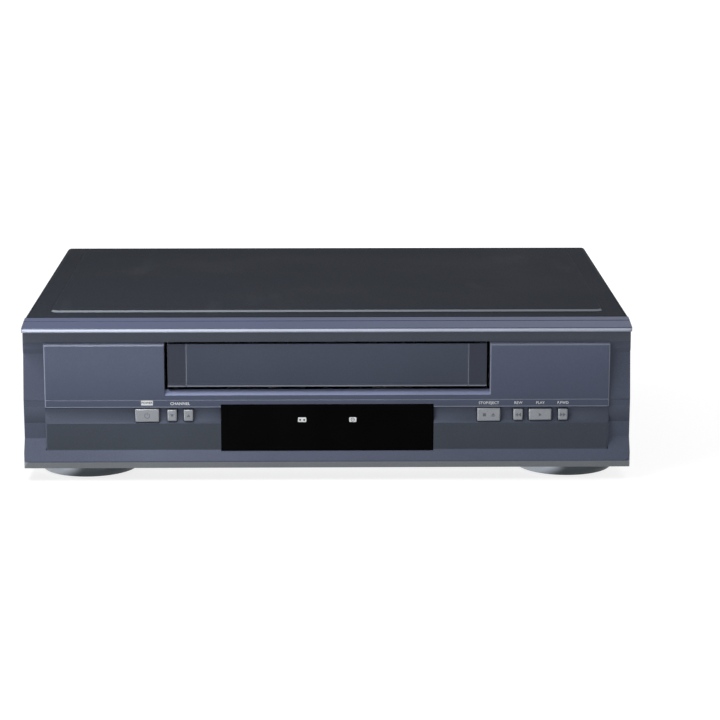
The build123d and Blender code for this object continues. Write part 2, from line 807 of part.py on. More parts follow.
# ---- feet, their rubber pads and screws ----
with BuildPart() as feet:
    for x, y in foot_places:
        with BuildSketch(Plane.XY.offset(floor_z)):
            with Locations((x, y)):
                Circle(foot_r)
        extrude(amount=-foot_rim_h)
        with BuildSketch(Plane.XY.offset(floor_z - foot_rim_h)):
            with Locations((x, y)):
                Circle(foot_r)
        extrude(amount=-(floor_z - foot_rim_h - pad_out), taper=foot_taper)
        post(x, y, 0, pad_out + pad_in, pad_r + fit_gap / 2, mode=Mode.SUBTRACT)
        post(x, y, 0, foot_recess_z, pad_hole_r, mode=Mode.SUBTRACT)
        post(x, y, 0, floor_z + 1, foot_screw_r + pin_gap, mode=Mode.SUBTRACT)
        with BuildSketch(Plane.XY.offset(pad_out + pad_in)):
            with Locations((x, y)):
                Circle(pad_hole_r + 2)
                Circle(pad_hole_r, mode=Mode.SUBTRACT)
        extrude(amount=-pad_in)
feet.part.label = "feet"
export_step(feet.part, "parts/feet.step")

with BuildPart() as foot_pads:
    for x, y in foot_places:
        post(x, y, 0, pad_out + pad_in, pad_r)
        post(x, y, -1, pad_out + pad_in + 1, pad_hole_r + 2 + fit_gap / 2, mode=Mode.SUBTRACT)
foot_pads.part.label = "foot_pads"
export_step(foot_pads.part, "parts/foot_pads.step")

with BuildPart() as foot_screws:
    for x, y in foot_places:
        post(x, y, foot_recess_z - foot_screw_head, foot_recess_z, 2 * foot_screw_r)
        post(x, y, foot_recess_z, pan_top_z + 2, foot_screw_r)
foot_screws.part.label = "foot_screws"
export_step(foot_screws.part, "parts/foot_screws.step")

with BuildPart() as cover_screws:
    for side, y in cover_screw_places:
        head_x = case_out_x + screw_head_t
        with Locations(Location((side * (case_out_x + screw_head_t / 2), y, screw_z),
                                (0, 90, 0))):
            Cylinder(screw_head_r, screw_head_t)
        with Locations(Location((side * (case_out_x - screw_len / 2), y, screw_z),
                                (0, 90, 0))):
            Cylinder(screw_r, screw_len)
        for across, up in ((cross_l, cross_w), (cross_w, cross_l)):
            slab(side * (head_x - cross_deep), side * (head_x + 1), y - across, y + across,
                 screw_z - up, screw_z + up, mode=Mode.SUBTRACT)
cover_screws.part.label = "cover_screws"
export_step(cover_screws.part, "parts/cover_screws.step")

# ================= rear panel and its connectors =================

with BuildPart() as rear_panel:
    slab(-pan_x, pan_x, rear_in_y, rear_y, pan_top_z, cover_z - sheet)
    fillet(rear_panel.edges().filter_by(Axis.Y).group_by(Axis.Z)[-1], bend_r - sheet)
    for x, z in jack_places:
        with Locations(Location((x, rear_y, z), (90, 0, 0))):
            Cylinder(jack_r + 0.4, 4 * sheet, mode=Mode.SUBTRACT)
    for z in rf_heights:
        with Locations(Location((rf_x, rear_y, z), (90, 0, 0))):
            Cylinder(rf_r + 0.4, 4 * sheet, mode=Mode.SUBTRACT)
    slab(inlet_x - inlet_w / 2 - fit_gap, inlet_x + inlet_w / 2 + fit_gap, rear_in_y - 1,
         rear_y + 1, inlet_z - inlet_h / 2 - fit_gap, inlet_z + inlet_h / 2 + fit_gap,
         mode=Mode.SUBTRACT)
    with Locations(Location((0, rear_y, rear_vent_z), (90, 0, 0))):
        with GridLocations(vent_pitch, 1, rear_vents, 1):
            Box(vent_w, rear_vent_h, 4 * sheet, mode=Mode.SUBTRACT)
rear_panel.part.label = "rear_panel"
export_step(rear_panel.part, "parts/rear_panel.step")

with BuildPart() as av_jacks:
    slab(jack_block_x0, jack_block_x1, rear_in_y - jack_block_d, rear_in_y, board_top_z,
         jack_places[-1][1] + jack_pitch_z / 2)
    for x, z in jack_places:
        with BuildSketch(facing(rear_y + jack_ring_t)):
            with Locations((x, z)):
                Circle(jack_ring_r)
        extrude(amount=jack_ring_t)
        with BuildSketch(facing(back_y)):
            with Locations((x, z)):
                Circle(jack_r)
        extrude(amount=back_y - rear_in_y)
    for x, z in jack_places:
        with BuildSketch(facing(back_y)):
            with Locations((x, z)):
                Circle(jack_bore_r)
        extrude(amount=connector_reach, mode=Mode.SUBTRACT)
av_jacks.part.label = "av_jacks"
export_step(av_jacks.part, "parts/av_jacks.step")

with BuildPart() as tuner_box:
    slab(tuner_x0, tuner_x1, rear_in_y - tuner_l, rear_in_y, board_top_z,
         board_top_z + tuner_h)
    fillet(tuner_box.edges().filter_by(Axis.Z), 1.0)
tuner_box.part.label = "tuner_box"
export_step(tuner_box.part, "parts/tuner_box.step")

with BuildPart() as rf_connectors:
    for z in rf_heights:
        with BuildSketch(facing(back_y)):
            with Locations((rf_x, z)):
                Circle(rf_r)
        extrude(amount=back_y - rear_in_y)
        with BuildSketch(facing(rear_y + rf_nut_t)):
            with Locations((rf_x, z)):
                RegularPolygon(rf_nut_r, 6)
        extrude(amount=rf_nut_t)
        with BuildSketch(facing(back_y)):
            with Locations((rf_x, z)):
                Circle(rf_bore_r)
        extrude(amount=connector_reach, mode=Mode.SUBTRACT)
rf_connectors.part.label = "rf_connectors"
export_step(rf_connectors.part, "parts/rf_connectors.step")

with BuildPart() as mains_inlet:
    slab(inlet_x - inlet_w / 2, inlet_x + inlet_w / 2, rear_in_y - inlet_d, rear_y,
         inlet_z - inlet_h / 2, inlet_z + inlet_h / 2)
    slab(inlet_x - inlet_w / 2 - inlet_lip, inlet_x + inlet_w / 2 + inlet_lip, rear_y,
         rear_y + inlet_lip, inlet_z - inlet_h / 2 - inlet_lip,
         inlet_z + inlet_h / 2 + inlet_lip)
    with BuildSketch(facing(rear_y + inlet_lip)):
        with Locations((inlet_x, inlet_z)):
            SlotOverall(inlet_socket_w, inlet_socket_h)
            with Locations((-inlet_pin_x, 0), (inlet_pin_x, 0)):
                Circle(inlet_pin_r, mode=Mode.SUBTRACT)
    extrude(amount=inlet_socket_d, mode=Mode.SUBTRACT)
mains_inlet.part.label = "mains_inlet"
export_step(mains_inlet.part, "parts/mains_inlet.step")

# ================= boards and what stands on them =================

with BuildPart() as main_board:
    slab(main_x0, main_x1, main_y0, main_y1, board_z, board_top_z)
    for x, y in deck_posts:
        post(x, y, board_z - 1, board_top_z + 1, deck_post_r + 1, mode=Mode.SUBTRACT)
main_board.part.label = "main_board"
export_step(main_board.part, "parts/main_board.step")

with BuildPart() as power_board:
    slab(power_x0, power_x1, power_y0, main_y1, board_z, board_top_z)
power_board.part.label = "power_board"
export_step(power_board.part, "parts/power_board.step")

with BuildPart() as transformer:
    slab(transformer_x - core_l / 2, transformer_x + core_l / 2, transformer_y - core_w / 2,
         transformer_y + core_w / 2, board_top_z, board_top_z + core_h)
    slab(transformer_x - winding_l / 2, transformer_x + winding_l / 2,
         transformer_y - winding_w / 2, transformer_y + winding_w / 2,
         board_top_z + winding_edge, board_top_z + core_h - winding_edge)
transformer.part.label = "transformer"
export_step(transformer.part, "parts/transformer.step")

with BuildPart() as heat_sink:
    slab(sink_x - sink_plate / 2, sink_x + sink_plate / 2, sink_y - sink_l / 2,
         sink_y + sink_l / 2, board_top_z, board_top_z + sink_h)
    with Locations((sink_x + sink_plate / 2 + fin_l / 2 - 1, sink_y, board_top_z + sink_h / 2)):
        with GridLocations(1, sink_l / fins, 1, fins):
            Box(fin_l, fin_t, sink_h)
heat_sink.part.label = "heat_sink"
export_step(heat_sink.part, "parts/heat_sink.step")

with BuildPart() as capacitors:
    for x, y, radius, tall in capacitor_places:
        post(x, y, board_top_z, board_top_z + tall, radius)
capacitors.part.label = "capacitors"
export_step(capacitors.part, "parts/capacitors.step")

# ---- flat cable between the two main boards ----
cable_path = [
    (front_board_back_y + cable_t / 2, cable_top_z),
    (front_board_back_y + 3.0, cable_top_z),
    (main_y0 + 4.0, cable_top_z - 5.0),
    (main_y0 + 4.0, board_top_z + cable_t / 2),
]
with BuildPart() as ribbon_cable:
    with BuildSketch(Plane.YZ.offset(cable_x)):
        with BuildLine() as route:
            Polyline(*cable_path)
        trace(route.edges(), line_width=cable_t)
    extrude(amount=cable_w / 2, both=True)
ribbon_cable.part.label = "ribbon_cable"
export_step(ribbon_cable.part, "parts/ribbon_cable.step")

with BuildPart() as front_board:
    slab(-front_board_x, front_board_x, front_board_y, front_board_back_y, front_board_low_z,
         slot_bottom_z - front_board_drop)
front_board.part.label = "front_board"
export_step(front_board.part, "parts/front_board.step")

with BuildPart() as display_tube:
    slab(-window_x + tube_inset, window_x - tube_inset, front_board_y - tube_d, front_board_y,
         window_low_z + 3, window_top_z - 5)
    fillet(display_tube.edges().filter_by(Axis.Y), 2.5)
    chamfer(display_tube.faces().sort_by(Axis.Y)[0].edges(), 0.8)
display_tube.part.label = "display_tube"
export_step(display_tube.part, "parts/display_tube.step")

with BuildPart() as tact_switches:
    for name, x, w, h in buttons:
        slab(x - tact_w / 2, x + tact_w / 2, front_board_y - tact_body, front_board_y,
             groove_mid_z - 3, groove_mid_z + 3)
        with BuildSketch(facing(front_board_y - tact_body)):
            with Locations((x, groove_mid_z)):
                Circle(stem_r)
        extrude(amount=tact_plunger)
tact_switches.part.label = "tact_switches"
export_step(tact_switches.part, "parts/tact_switches.step")

with BuildPart() as infrared_sensor:
    slab(window_x - 9, window_x - 3, front_board_y - tube_d, front_board_y,
         window_low_z + 8, window_low_z + 15)
infrared_sensor.part.label = "infrared_sensor"
export_step(infrared_sensor.part, "parts/infrared_sensor.step")

# ================= tape deck =================


def track(side):
    """The plane on the deck at the start of a loading post's track, its X along the track."""
    heading = post_heading if side > 0 else 180 - post_heading
    return Plane((side * post_start_x, post_start_y, deck_top_z),
                 x_dir=(cos(radians(heading)), sin(radians(heading)), 0), z_dir=(0, 0, 1))


with BuildPart() as deck_chassis:
    slab(-deck_x, deck_x, deck_front_y, deck_rear_y, deck_z, deck_top_z)
    fillet(deck_chassis.edges().filter_by(Axis.Z), 4)
    post(capstan_x, capstan_y, deck_z - 1, deck_top_z + 1, neck_r + slot_gap,
         mode=Mode.SUBTRACT)
    post(0, clutch_y, deck_z - 1, deck_top_z + 1, clutch_shaft_r + pin_gap,
         mode=Mode.SUBTRACT)
    for side in (-1, 1):
        with BuildSketch(track(side).offset(-deck_sheet - 1)):
            with Locations((post_travel / 2, 0)):
                SlotOverall(post_travel + post_block, track_w)
        extrude(amount=deck_sheet + 2, mode=Mode.SUBTRACT)
        post(side * reel_x, reel_y, deck_top_z, reel_low_z, 3 * spindle_r)
        post(side * reel_x, reel_y, deck_top_z, reel_top_z - 1.5, spindle_r)
        post(side * seat_x, loaded_out_y + 14.0, deck_top_z, loaded_z, seat_r)
        post(side * seat_x, loaded_in_y - 15.0, deck_top_z, loaded_z, seat_r)
    post(pinch_pivot_x, pinch_pivot_y, deck_top_z, pinch_link_z - run_gap, 2 * pivot_post_r)
    post(pinch_pivot_x, pinch_pivot_y, deck_top_z, pinch_link_z + 7.0, pivot_post_r)
    post(tension_pivot_x, tension_pivot_y, deck_top_z, deck_top_z + 1.0, 2 * pivot_post_r)
    post(tension_pivot_x, tension_pivot_y, deck_top_z, deck_top_z + 5.0, pivot_post_r)
    post(cam_x, cam_y, deck_top_z, cam_low_z - run_gap, 2 * cam_axle_r)
    post(cam_x, cam_y, deck_top_z, cam_low_z + cam_h + 1.5, cam_axle_r)
    block_x = cam_x - worm_l / 2 - worm_block_gap
    slab(block_x - worm_block_t, block_x, worm_y - worm_block_t, worm_y + worm_block_t,
         deck_top_z, worm_z + worm_block_t)
    with Locations(Location((block_x, worm_y, worm_z), (0, 90, 0))):
        Cylinder(worm_shaft_r + pin_gap, 3 * worm_block_t, mode=Mode.SUBTRACT)
deck_chassis.part.label = "deck_chassis"
export_step(deck_chassis.part, "parts/deck_chassis.step")

# ---- reels: a rim, a hub the cassette sits over and a three-fin key ----
for name, x in (("supply_reel", -reel_x), ("take_up_reel", reel_x)):
    with BuildPart() as reel:
        post(x, reel_y, reel_low_z + 0.1, reel_low_z + reel_rim_h, reel_rim_r)
        post(x, reel_y, reel_low_z, reel_hub_z, reel_hub_r)
        post(x, reel_y, reel_hub_z, reel_top_z, reel_key_r - 2)
        chamfer(reel.faces().sort_by(Axis.Z)[-1].edges(), 1.2)
        with BuildSketch(Plane.XY.offset(reel_hub_z)):
            with Locations((x, reel_y)):
                with PolarLocations(reel_key_r - 1.6, 3):
                    Rectangle(3.2, 1.6)
        extrude(amount=reel_top_z - reel_hub_z - 2.5)
        post(x, reel_y, reel_low_z - 1, reel_top_z + 1, spindle_r + pin_gap,
             mode=Mode.SUBTRACT)
    reel.part.label = name
    export_step(reel.part, f"parts/{name}.step")

# ---- head drum: a leaning base, a fixed lower drum and the spinning upper drum ----
with BuildPart() as drum_base:
    with BuildSketch(drum_plane):
        Circle(drum_r + 1.0)
    extrude(amount=-3 * drum_lift)
    with BuildSketch(drum_plane.offset(1)):
        Circle(drum_shaft_r + 2.0)
    extrude(amount=-3 * drum_lift - 2, mode=Mode.SUBTRACT)
    slab(-2 * drum_r, 2 * drum_r, drum_y - 2 * drum_r, drum_y + 2 * drum_r,
         deck_top_z - 4 * drum_lift, deck_top_z, mode=Mode.SUBTRACT)
drum_base.part.label = "drum_base"
export_step(drum_base.part, "parts/drum_base.step")

with BuildPart() as lower_drum:
    with BuildSketch(drum_plane):
        Circle(drum_r)
        Circle(drum_shaft_r + pin_gap, mode=Mode.SUBTRACT)
    extrude(amount=lower_drum_h)
lower_drum.part.label = "lower_drum"
export_step(lower_drum.part, "parts/lower_drum.step")

with BuildPart() as upper_drum:
    with BuildSketch(drum_plane.offset(lower_drum_h + run_gap)):
        Circle(drum_r)
    extrude(amount=upper_drum_h)
    chamfer(upper_drum.faces().sort_by(Axis.Z)[-1].edges(), 1.0)
    with BuildSketch(drum_plane.offset(lower_drum_h + run_gap + upper_drum_h)):
        Circle(drum_r / 2.5)
    extrude(amount=drum_hub_h)
    with BuildSketch(drum_plane.offset(0.5)):
        Circle(drum_shaft_r)
    extrude(amount=lower_drum_h + 1)
    # head windows around the lower rim
    with BuildSketch(drum_plane.offset(lower_drum_h + run_gap)):
        with PolarLocations(drum_r, 4):
            Rectangle(3, 4)
    extrude(amount=2.2, mode=Mode.SUBTRACT)
upper_drum.part.label = "upper_drum"
export_step(upper_drum.part, "parts/upper_drum.step")

# ---- capstan and its housing ----
with BuildPart() as capstan_housing:
    post(capstan_x, capstan_y, housing_z, deck_z, housing_r)
    post(capstan_x, capstan_y, deck_z, neck_top_z, neck_r)
    post(capstan_x, capstan_y, housing_z - 1, neck_top_z + 1, capstan_r + pin_gap,
         mode=Mode.SUBTRACT)
capstan_housing.part.label = "capstan_housing"
export_step(capstan_housing.part, "parts/capstan_housing.step")

with BuildPart() as capstan:
    post(capstan_x, capstan_y, flywheel_z - 0.8, capstan_top_z, capstan_r)
    post(capstan_x, capstan_y, flywheel_z, flywheel_z + flywheel_h, flywheel_r)
    post(capstan_x, capstan_y, flywheel_z + flywheel_h, flywheel_z + flywheel_h + pulley_h,
         pulley_r)
capstan.part.label = "capstan"
export_step(capstan.part, "parts/capstan.step")

# ---- reel drive: clutch, belt and the swinging idler ----
with BuildPart() as reel_clutch:
    post(0, clutch_y, clutch_pulley_z, clutch_pulley_z + pulley_h, clutch_r)
    post(0, clutch_y, clutch_pulley_z, idler_z + reel_rim_h + 1.5, clutch_shaft_r)
    post(0, clutch_y, idler_z, idler_z + reel_rim_h, clutch_gear_r)
reel_clutch.part.label = "reel_clutch"
export_step(reel_clutch.part, "parts/reel_clutch.step")

belt_span = hypot(capstan_x, capstan_y - clutch_y)
belt_lean = degrees(atan2(capstan_y - clutch_y, capstan_x))
belt_spread = degrees(atan2(clutch_r - pulley_r, belt_span))
belt_plane = Plane((0, clutch_y, clutch_pulley_z + 0.5),
                   x_dir=(cos(radians(belt_lean)), sin(radians(belt_lean)), 0), z_dir=(0, 0, 1))


def belt_loop(grow):
    """The outline of a loop round both pulleys, outside them by grow."""
    large = clutch_r + grow
    small = pulley_r + grow
    turn = radians(90 - belt_spread)
    with BuildLine() as loop:
        upper = Line((large * cos(turn), large * sin(turn)),
                     (belt_span + small * cos(turn), small * sin(turn)))
        lower = Line((large * cos(turn), -large * sin(turn)),
                     (belt_span + small * cos(turn), -small * sin(turn)))
        ThreePointArc(upper @ 0, (-large, 0), lower @ 0)
        ThreePointArc(upper @ 1, (belt_span + small, 0), lower @ 1)
    return loop.edges()


with BuildPart() as reel_belt:
    with BuildSketch(belt_plane):
        make_face(belt_loop(run_gap + belt_t))
        make_face(belt_loop(run_gap), mode=Mode.SUBTRACT)
    extrude(amount=belt_h)
reel_belt.part.label = "reel_belt"
export_step(reel_belt.part, "parts/reel_belt.step")

idler_y = clutch_y - idler_arm_len
idler_arm_z = idler_z + reel_rim_h + run_gap
with BuildPart() as idler_arm:
    with BuildSketch(Plane.XY.offset(idler_arm_z)):
        with Locations((0, (clutch_y + idler_y) / 2)):
            SlotOverall(idler_arm_len + 9, 9, rotation=90)
        with Locations((0, clutch_y)):
            Circle(clutch_shaft_r + pin_gap, mode=Mode.SUBTRACT)
    extrude(amount=idler_arm_t)
    post(0, idler_y, idler_z - 0.5, idler_arm_z, idler_pin_r)
idler_arm.part.label = "idler_arm"
export_step(idler_arm.part, "parts/idler_arm.step")

with BuildPart() as idler_wheel:
    post(0, idler_y, idler_z, idler_z + reel_rim_h - 0.4, idler_r)
    post(0, idler_y, idler_z - 1, idler_z + reel_rim_h + 1, idler_pin_r + pin_gap,
         mode=Mode.SUBTRACT)
idler_wheel.part.label = "idler_wheel"
export_step(idler_wheel.part, "parts/idler_wheel.step")

# ---- tape loading: rails, posts, cam gear, worm and motor ----
with BuildPart() as guide_rails:
    for side in (-1, 1):
        with BuildSketch(track(side)):
            with Locations((post_travel / 2, 0)):
                SlotOverall(post_travel + rail_w, rail_w)
                SlotOverall(post_travel + post_block, track_w, mode=Mode.SUBTRACT)
        extrude(amount=rail_h)
    post(0, drum_y, deck_z, deck_top_z + 2 * rail_h, drum_r + 1.4, mode=Mode.SUBTRACT)
guide_rails.part.label = "guide_rails"
export_step(guide_rails.part, "parts/guide_rails.step")

for name, side in (("supply_loading_post", -1), ("take_up_loading_post", 1)):
    with BuildPart() as loading_post:
        with BuildSketch(track(side).offset(rail_h + run_gap)):
            RectangleRounded(post_block, post_block, 2)
        extrude(amount=4.0)
        with BuildSketch(track(side).offset(rail_h + run_gap)):
            SlotOverall(post_block - 2, track_w - 2 * slot_gap)
        extrude(amount=-rail_h - tongue_in)
        post(side * post_start_x, post_start_y, deck_top_z + rail_h + 4.0, post_top_z, 1.5)
        post(side * post_start_x, post_start_y, loaded_z + 3.0, post_top_z - 1.0, roller_r)
    loading_post.part.label = name
    export_step(loading_post.part, f"parts/{name}.step")

with BuildPart() as cam_gear:
    with BuildSketch(Plane.XY.offset(cam_low_z)):
        with Locations((cam_x, cam_y)):
            Circle(cam_r)
            with PolarLocations(cam_r + tooth_h / 2 - 0.2, cam_teeth):
                Rectangle(tooth_h + 0.4, pi * cam_r / cam_teeth - 0.3)
            Circle(cam_axle_r + pin_gap, mode=Mode.SUBTRACT)
            with PolarLocations(cam_r / 2, 3, start_angle=20):
                SlotOverall(9, 4, rotation=90, mode=Mode.SUBTRACT)
    extrude(amount=cam_h)
cam_gear.part.label = "cam_gear"
export_step(cam_gear.part, "parts/cam_gear.step")

with BuildPart() as worm:
    with Locations(Location((cam_x, worm_y, worm_z), (0, 90, 0))):
        Cylinder(worm_r, worm_l)
    for ring in range(worm_rings):
        x = cam_x + (ring - (worm_rings - 1) / 2) * worm_l / (worm_rings + 1)
        with Locations(Location((x, worm_y, worm_z), (0, 90, 0))):
            Cylinder(worm_r + 1, worm_ring_w, mode=Mode.SUBTRACT)
            Cylinder(worm_r - worm_ring_deep, worm_ring_w)
    worm_out = worm_l / 2 + worm_block_gap + worm_block_t
    with Locations(Location((cam_x, worm_y, worm_z), (0, 90, 0))):
        Cylinder(worm_shaft_r, 2 * worm_out + 1)
worm.part.label = "worm"
export_step(worm.part, "parts/worm.step")

with BuildPart() as loading_motor:
    with Locations(Location((motor_x0 + motor_l / 2, worm_y, worm_z), (0, 90, 0))):
        Cylinder(motor_r, motor_l)
        Cylinder(worm_shaft_r + pin_gap, motor_l + 1, mode=Mode.SUBTRACT)
    slab(motor_x0, motor_x0 + motor_l, worm_y - motor_r, worm_y + motor_r,
         deck_top_z - 4 * motor_r, deck_top_z, mode=Mode.SUBTRACT)
loading_motor.part.label = "loading_motor"
export_step(loading_motor.part, "parts/loading_motor.step")

# ---- heads and fixed posts ----
for name, x, y in (
    ("audio_head", audio_head_x, audio_head_y), ("erase_head", erase_head_x, erase_head_y)
):
    with BuildPart() as head:
        post(x, y, deck_top_z, deck_top_z + head_foot_h, head_d / 2)
        slab(x - head_w / 2, x + head_w / 2, y - head_d / 2, y + head_d / 2,
             deck_top_z + head_foot_h, deck_top_z + head_foot_h + head_h)
        fillet(head.edges().filter_by(Axis.Z).group_by(Axis.Y)[0], 2.5)
    head.part.label = name
    export_step(head.part, f"parts/{name}.step")

with BuildPart() as fixed_guides:
    for x, y in fixed_posts:
        post(x, y, deck_top_z, post_top_z, 1.5)
        post(x, y, loaded_z + 5.0, post_top_z - 2.0, 2.2)
fixed_guides.part.label = "fixed_guides"
export_step(fixed_guides.part, "parts/fixed_guides.step")


def swing_point(x, y, reach, turn):
    """The point at a reach and an angle in degrees from a pivot."""
    return x + reach * cos(radians(turn)), y + reach * sin(radians(turn))


# ---- pinch roller on its arm, drawn swung away from the capstan ----
pinch_x, pinch_y = swing_point(pinch_pivot_x, pinch_pivot_y, pinch_reach,
                               pinch_pressed - pinch_swing)
pinch_low_z = pinch_link_z + pinch_link_h + run_gap
pinch_top_z = pinch_low_z + 14.0
with BuildPart() as pinch_arm:
    with BuildSketch(Plane.XY.offset(pinch_link_z)):
        with Locations(Location(((pinch_x + pinch_pivot_x) / 2, (pinch_y + pinch_pivot_y) / 2),
                                pinch_pressed - pinch_swing)):
            SlotOverall(pinch_reach + 8, 8)
        with Locations((pinch_pivot_x, pinch_pivot_y)):
            Circle(pivot_post_r + pin_gap, mode=Mode.SUBTRACT)
    extrude(amount=pinch_link_h)
    post(pinch_x, pinch_y, pinch_link_z, pinch_top_z + 1, pinch_pin_r)
    with BuildSketch(Plane.XY.offset(pinch_link_z + pinch_link_h)):
        with Locations((pinch_pivot_x, pinch_pivot_y)):
            Circle(2 * pivot_post_r)
            Circle(pivot_post_r + pin_gap, mode=Mode.SUBTRACT)
    extrude(amount=4.0)
pinch_arm.part.label = "pinch_arm"
export_step(pinch_arm.part, "parts/pinch_arm.step")

with BuildPart() as pinch_roller:
    post(pinch_x, pinch_y, pinch_low_z, pinch_top_z, pinch_r)
    post(pinch_x, pinch_y, pinch_low_z - 1, pinch_top_z + 1, pinch_pin_r + pin_gap,
         mode=Mode.SUBTRACT)
pinch_roller.part.label = "pinch_roller"
export_step(pinch_roller.part, "parts/pinch_roller.step")

tension_x, tension_y = swing_point(tension_pivot_x, tension_pivot_y, tension_reach, tension_rest)
with BuildPart() as tension_arm:
    with BuildSketch(Plane.XY.offset(deck_top_z + 1.3)):
        with Locations(Location(((tension_x + tension_pivot_x) / 2,
                                 (tension_y + tension_pivot_y) / 2), tension_rest)):
            SlotOverall(tension_reach + 7, 7)
        with Locations((tension_pivot_x, tension_pivot_y)):
            Circle(pivot_post_r + pin_gap, mode=Mode.SUBTRACT)
    extrude(amount=1.6)
    post(tension_x, tension_y, deck_top_z + 1.3, post_top_z - 2, 1.5)
tension_arm.part.label = "tension_arm"
export_step(tension_arm.part, "parts/tension_arm.step")

# ================= cassette carriage =================

with BuildPart() as side_brackets:
    for side in (-1, 1):
        slab(side * bracket_in_x, side * bracket_out_x, bracket_front_y, bracket_rear_y,
             deck_top_z, bracket_top_z)
        slab(side * bracket_in_x, side * (bracket_out_x + bracket_foot), bracket_front_y,
             bracket_rear_y, deck_top_z, deck_top_z + bracket_sheet)
    half = pin_r + slot_gap
    slab(-bracket_out_x - 1, bracket_out_x + 1, frame_front_pin_y - half,
         frame_rear_pin_y + carriage_travel + half, frame_pin_z - half, frame_pin_z + half,
         mode=Mode.SUBTRACT)
    slab(-bracket_out_x - 1, bracket_out_x + 1, holder_rear_pin_y - half,
         holder_rear_pin_y + carriage_travel + half, holder_pin_z - half, holder_pin_z + half,
         mode=Mode.SUBTRACT)
    for y in (holder_rear_pin_y, holder_rear_pin_y + carriage_travel):
        slab(-bracket_out_x - 1, bracket_out_x + 1, y - half, y + half,
             holder_pin_z - cassette_drop - half, holder_pin_z, mode=Mode.SUBTRACT)
side_brackets.part.label = "side_brackets"
export_step(side_brackets.part, "parts/side_brackets.step")

with BuildPart() as housing_bridge:
    for y in (bracket_front_y + 4.0, bracket_rear_y - 4.0 - bridge_w):
        slab(-bracket_out_x, bracket_out_x, y, y + bridge_w, bracket_top_z,
             bracket_top_z + bridge_t)
housing_bridge.part.label = "housing_bridge"
export_step(housing_bridge.part, "parts/housing_bridge.step")

with BuildPart() as carriage_frame:
    for side in (-1, 1):
        slab(side * slide_in_x, side * slide_out_x, frame_front_y, frame_rear_y, frame_low_z,
             frame_top_z)
    slab(-slide_out_x, slide_out_x, frame_rear_y - frame_bar_w, frame_rear_y,
         frame_top_z - slide_sheet, frame_top_z)
    half = pin_r + slot_gap
    for y in (holder_front_pin_y, holder_rear_pin_y):
        slab(-slide_out_x - 1, slide_out_x + 1, y - half, y + half,
             holder_pin_z - cassette_drop - half, holder_pin_z + half, mode=Mode.SUBTRACT)
    for y in (frame_front_pin_y, frame_rear_pin_y):
        for side in (-1, 1):
            middle = side * (slide_out_x + bracket_out_x + 0.8) / 2
            with Locations(Location((middle, y, frame_pin_z), (0, 90, 0))):
                Cylinder(pin_r, bracket_out_x + 0.8 - slide_out_x)
carriage_frame.part.label = "carriage_frame"
export_step(carriage_frame.part, "parts/carriage_frame.step")

with BuildPart() as cassette_holder:
    for side in (-1, 1):
        slab(side * holder_in_x, side * holder_out_x, holder_front_y, holder_rear_y,
             eject_z - holder_sheet, holder_roof_z + holder_sheet)
        slab(side * (holder_in_x - holder_floor_w), side * holder_out_x, holder_front_y,
             holder_roof_rear_y, eject_z - holder_sheet, eject_z)
        slab(side * (holder_in_x - holder_floor_w), side * (holder_in_x - holder_floor_w + stop_w),
             eject_in_y + 0.2, eject_in_y + 0.2 + holder_sheet, eject_z, eject_z + stop_h)
        for y, reach in ((holder_front_pin_y, slide_out_x), (holder_rear_pin_y, bracket_out_x)):
            with Locations(Location((side * (reach + holder_out_x) / 2, y, holder_pin_z),
                                    (0, 90, 0))):
                Cylinder(pin_r, reach - holder_out_x)
    slab(-holder_out_x, holder_out_x, holder_front_y, holder_roof_rear_y, holder_roof_z,
         holder_roof_z + holder_sheet)
    for side in (-1, 1):
        slab(side * roof_slot_x, side * (roof_slot_x + roof_slot_w), holder_front_y + 8,
             holder_roof_rear_y - 6, holder_roof_z - 1, holder_roof_z + 2 * holder_sheet,
             mode=Mode.SUBTRACT)
cassette_holder.part.label = "cassette_holder"
export_step(cassette_holder.part, "parts/cassette_holder.step")
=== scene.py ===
"""The looks of a home video cassette recorder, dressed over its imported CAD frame.

Lengths are written in millimetres and turned into metres by the one constant MM.
The front faces -Y, +X is to the right seen from the front, and z = 0 is what it stands on.
"""
import json
import math

import bpy
import numpy as np
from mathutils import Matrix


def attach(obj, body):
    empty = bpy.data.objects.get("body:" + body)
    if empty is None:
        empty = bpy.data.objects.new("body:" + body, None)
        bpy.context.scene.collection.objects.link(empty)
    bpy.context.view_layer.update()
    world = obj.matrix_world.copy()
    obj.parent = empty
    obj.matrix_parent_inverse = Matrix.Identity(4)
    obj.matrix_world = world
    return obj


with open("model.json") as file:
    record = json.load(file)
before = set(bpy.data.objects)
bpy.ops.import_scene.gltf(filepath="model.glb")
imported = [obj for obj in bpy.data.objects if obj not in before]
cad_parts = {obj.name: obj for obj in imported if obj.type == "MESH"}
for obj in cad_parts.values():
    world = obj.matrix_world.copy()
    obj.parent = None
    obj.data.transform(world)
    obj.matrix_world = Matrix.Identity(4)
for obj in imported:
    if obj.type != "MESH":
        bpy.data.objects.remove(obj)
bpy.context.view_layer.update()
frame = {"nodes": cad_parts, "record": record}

MM = 0.001

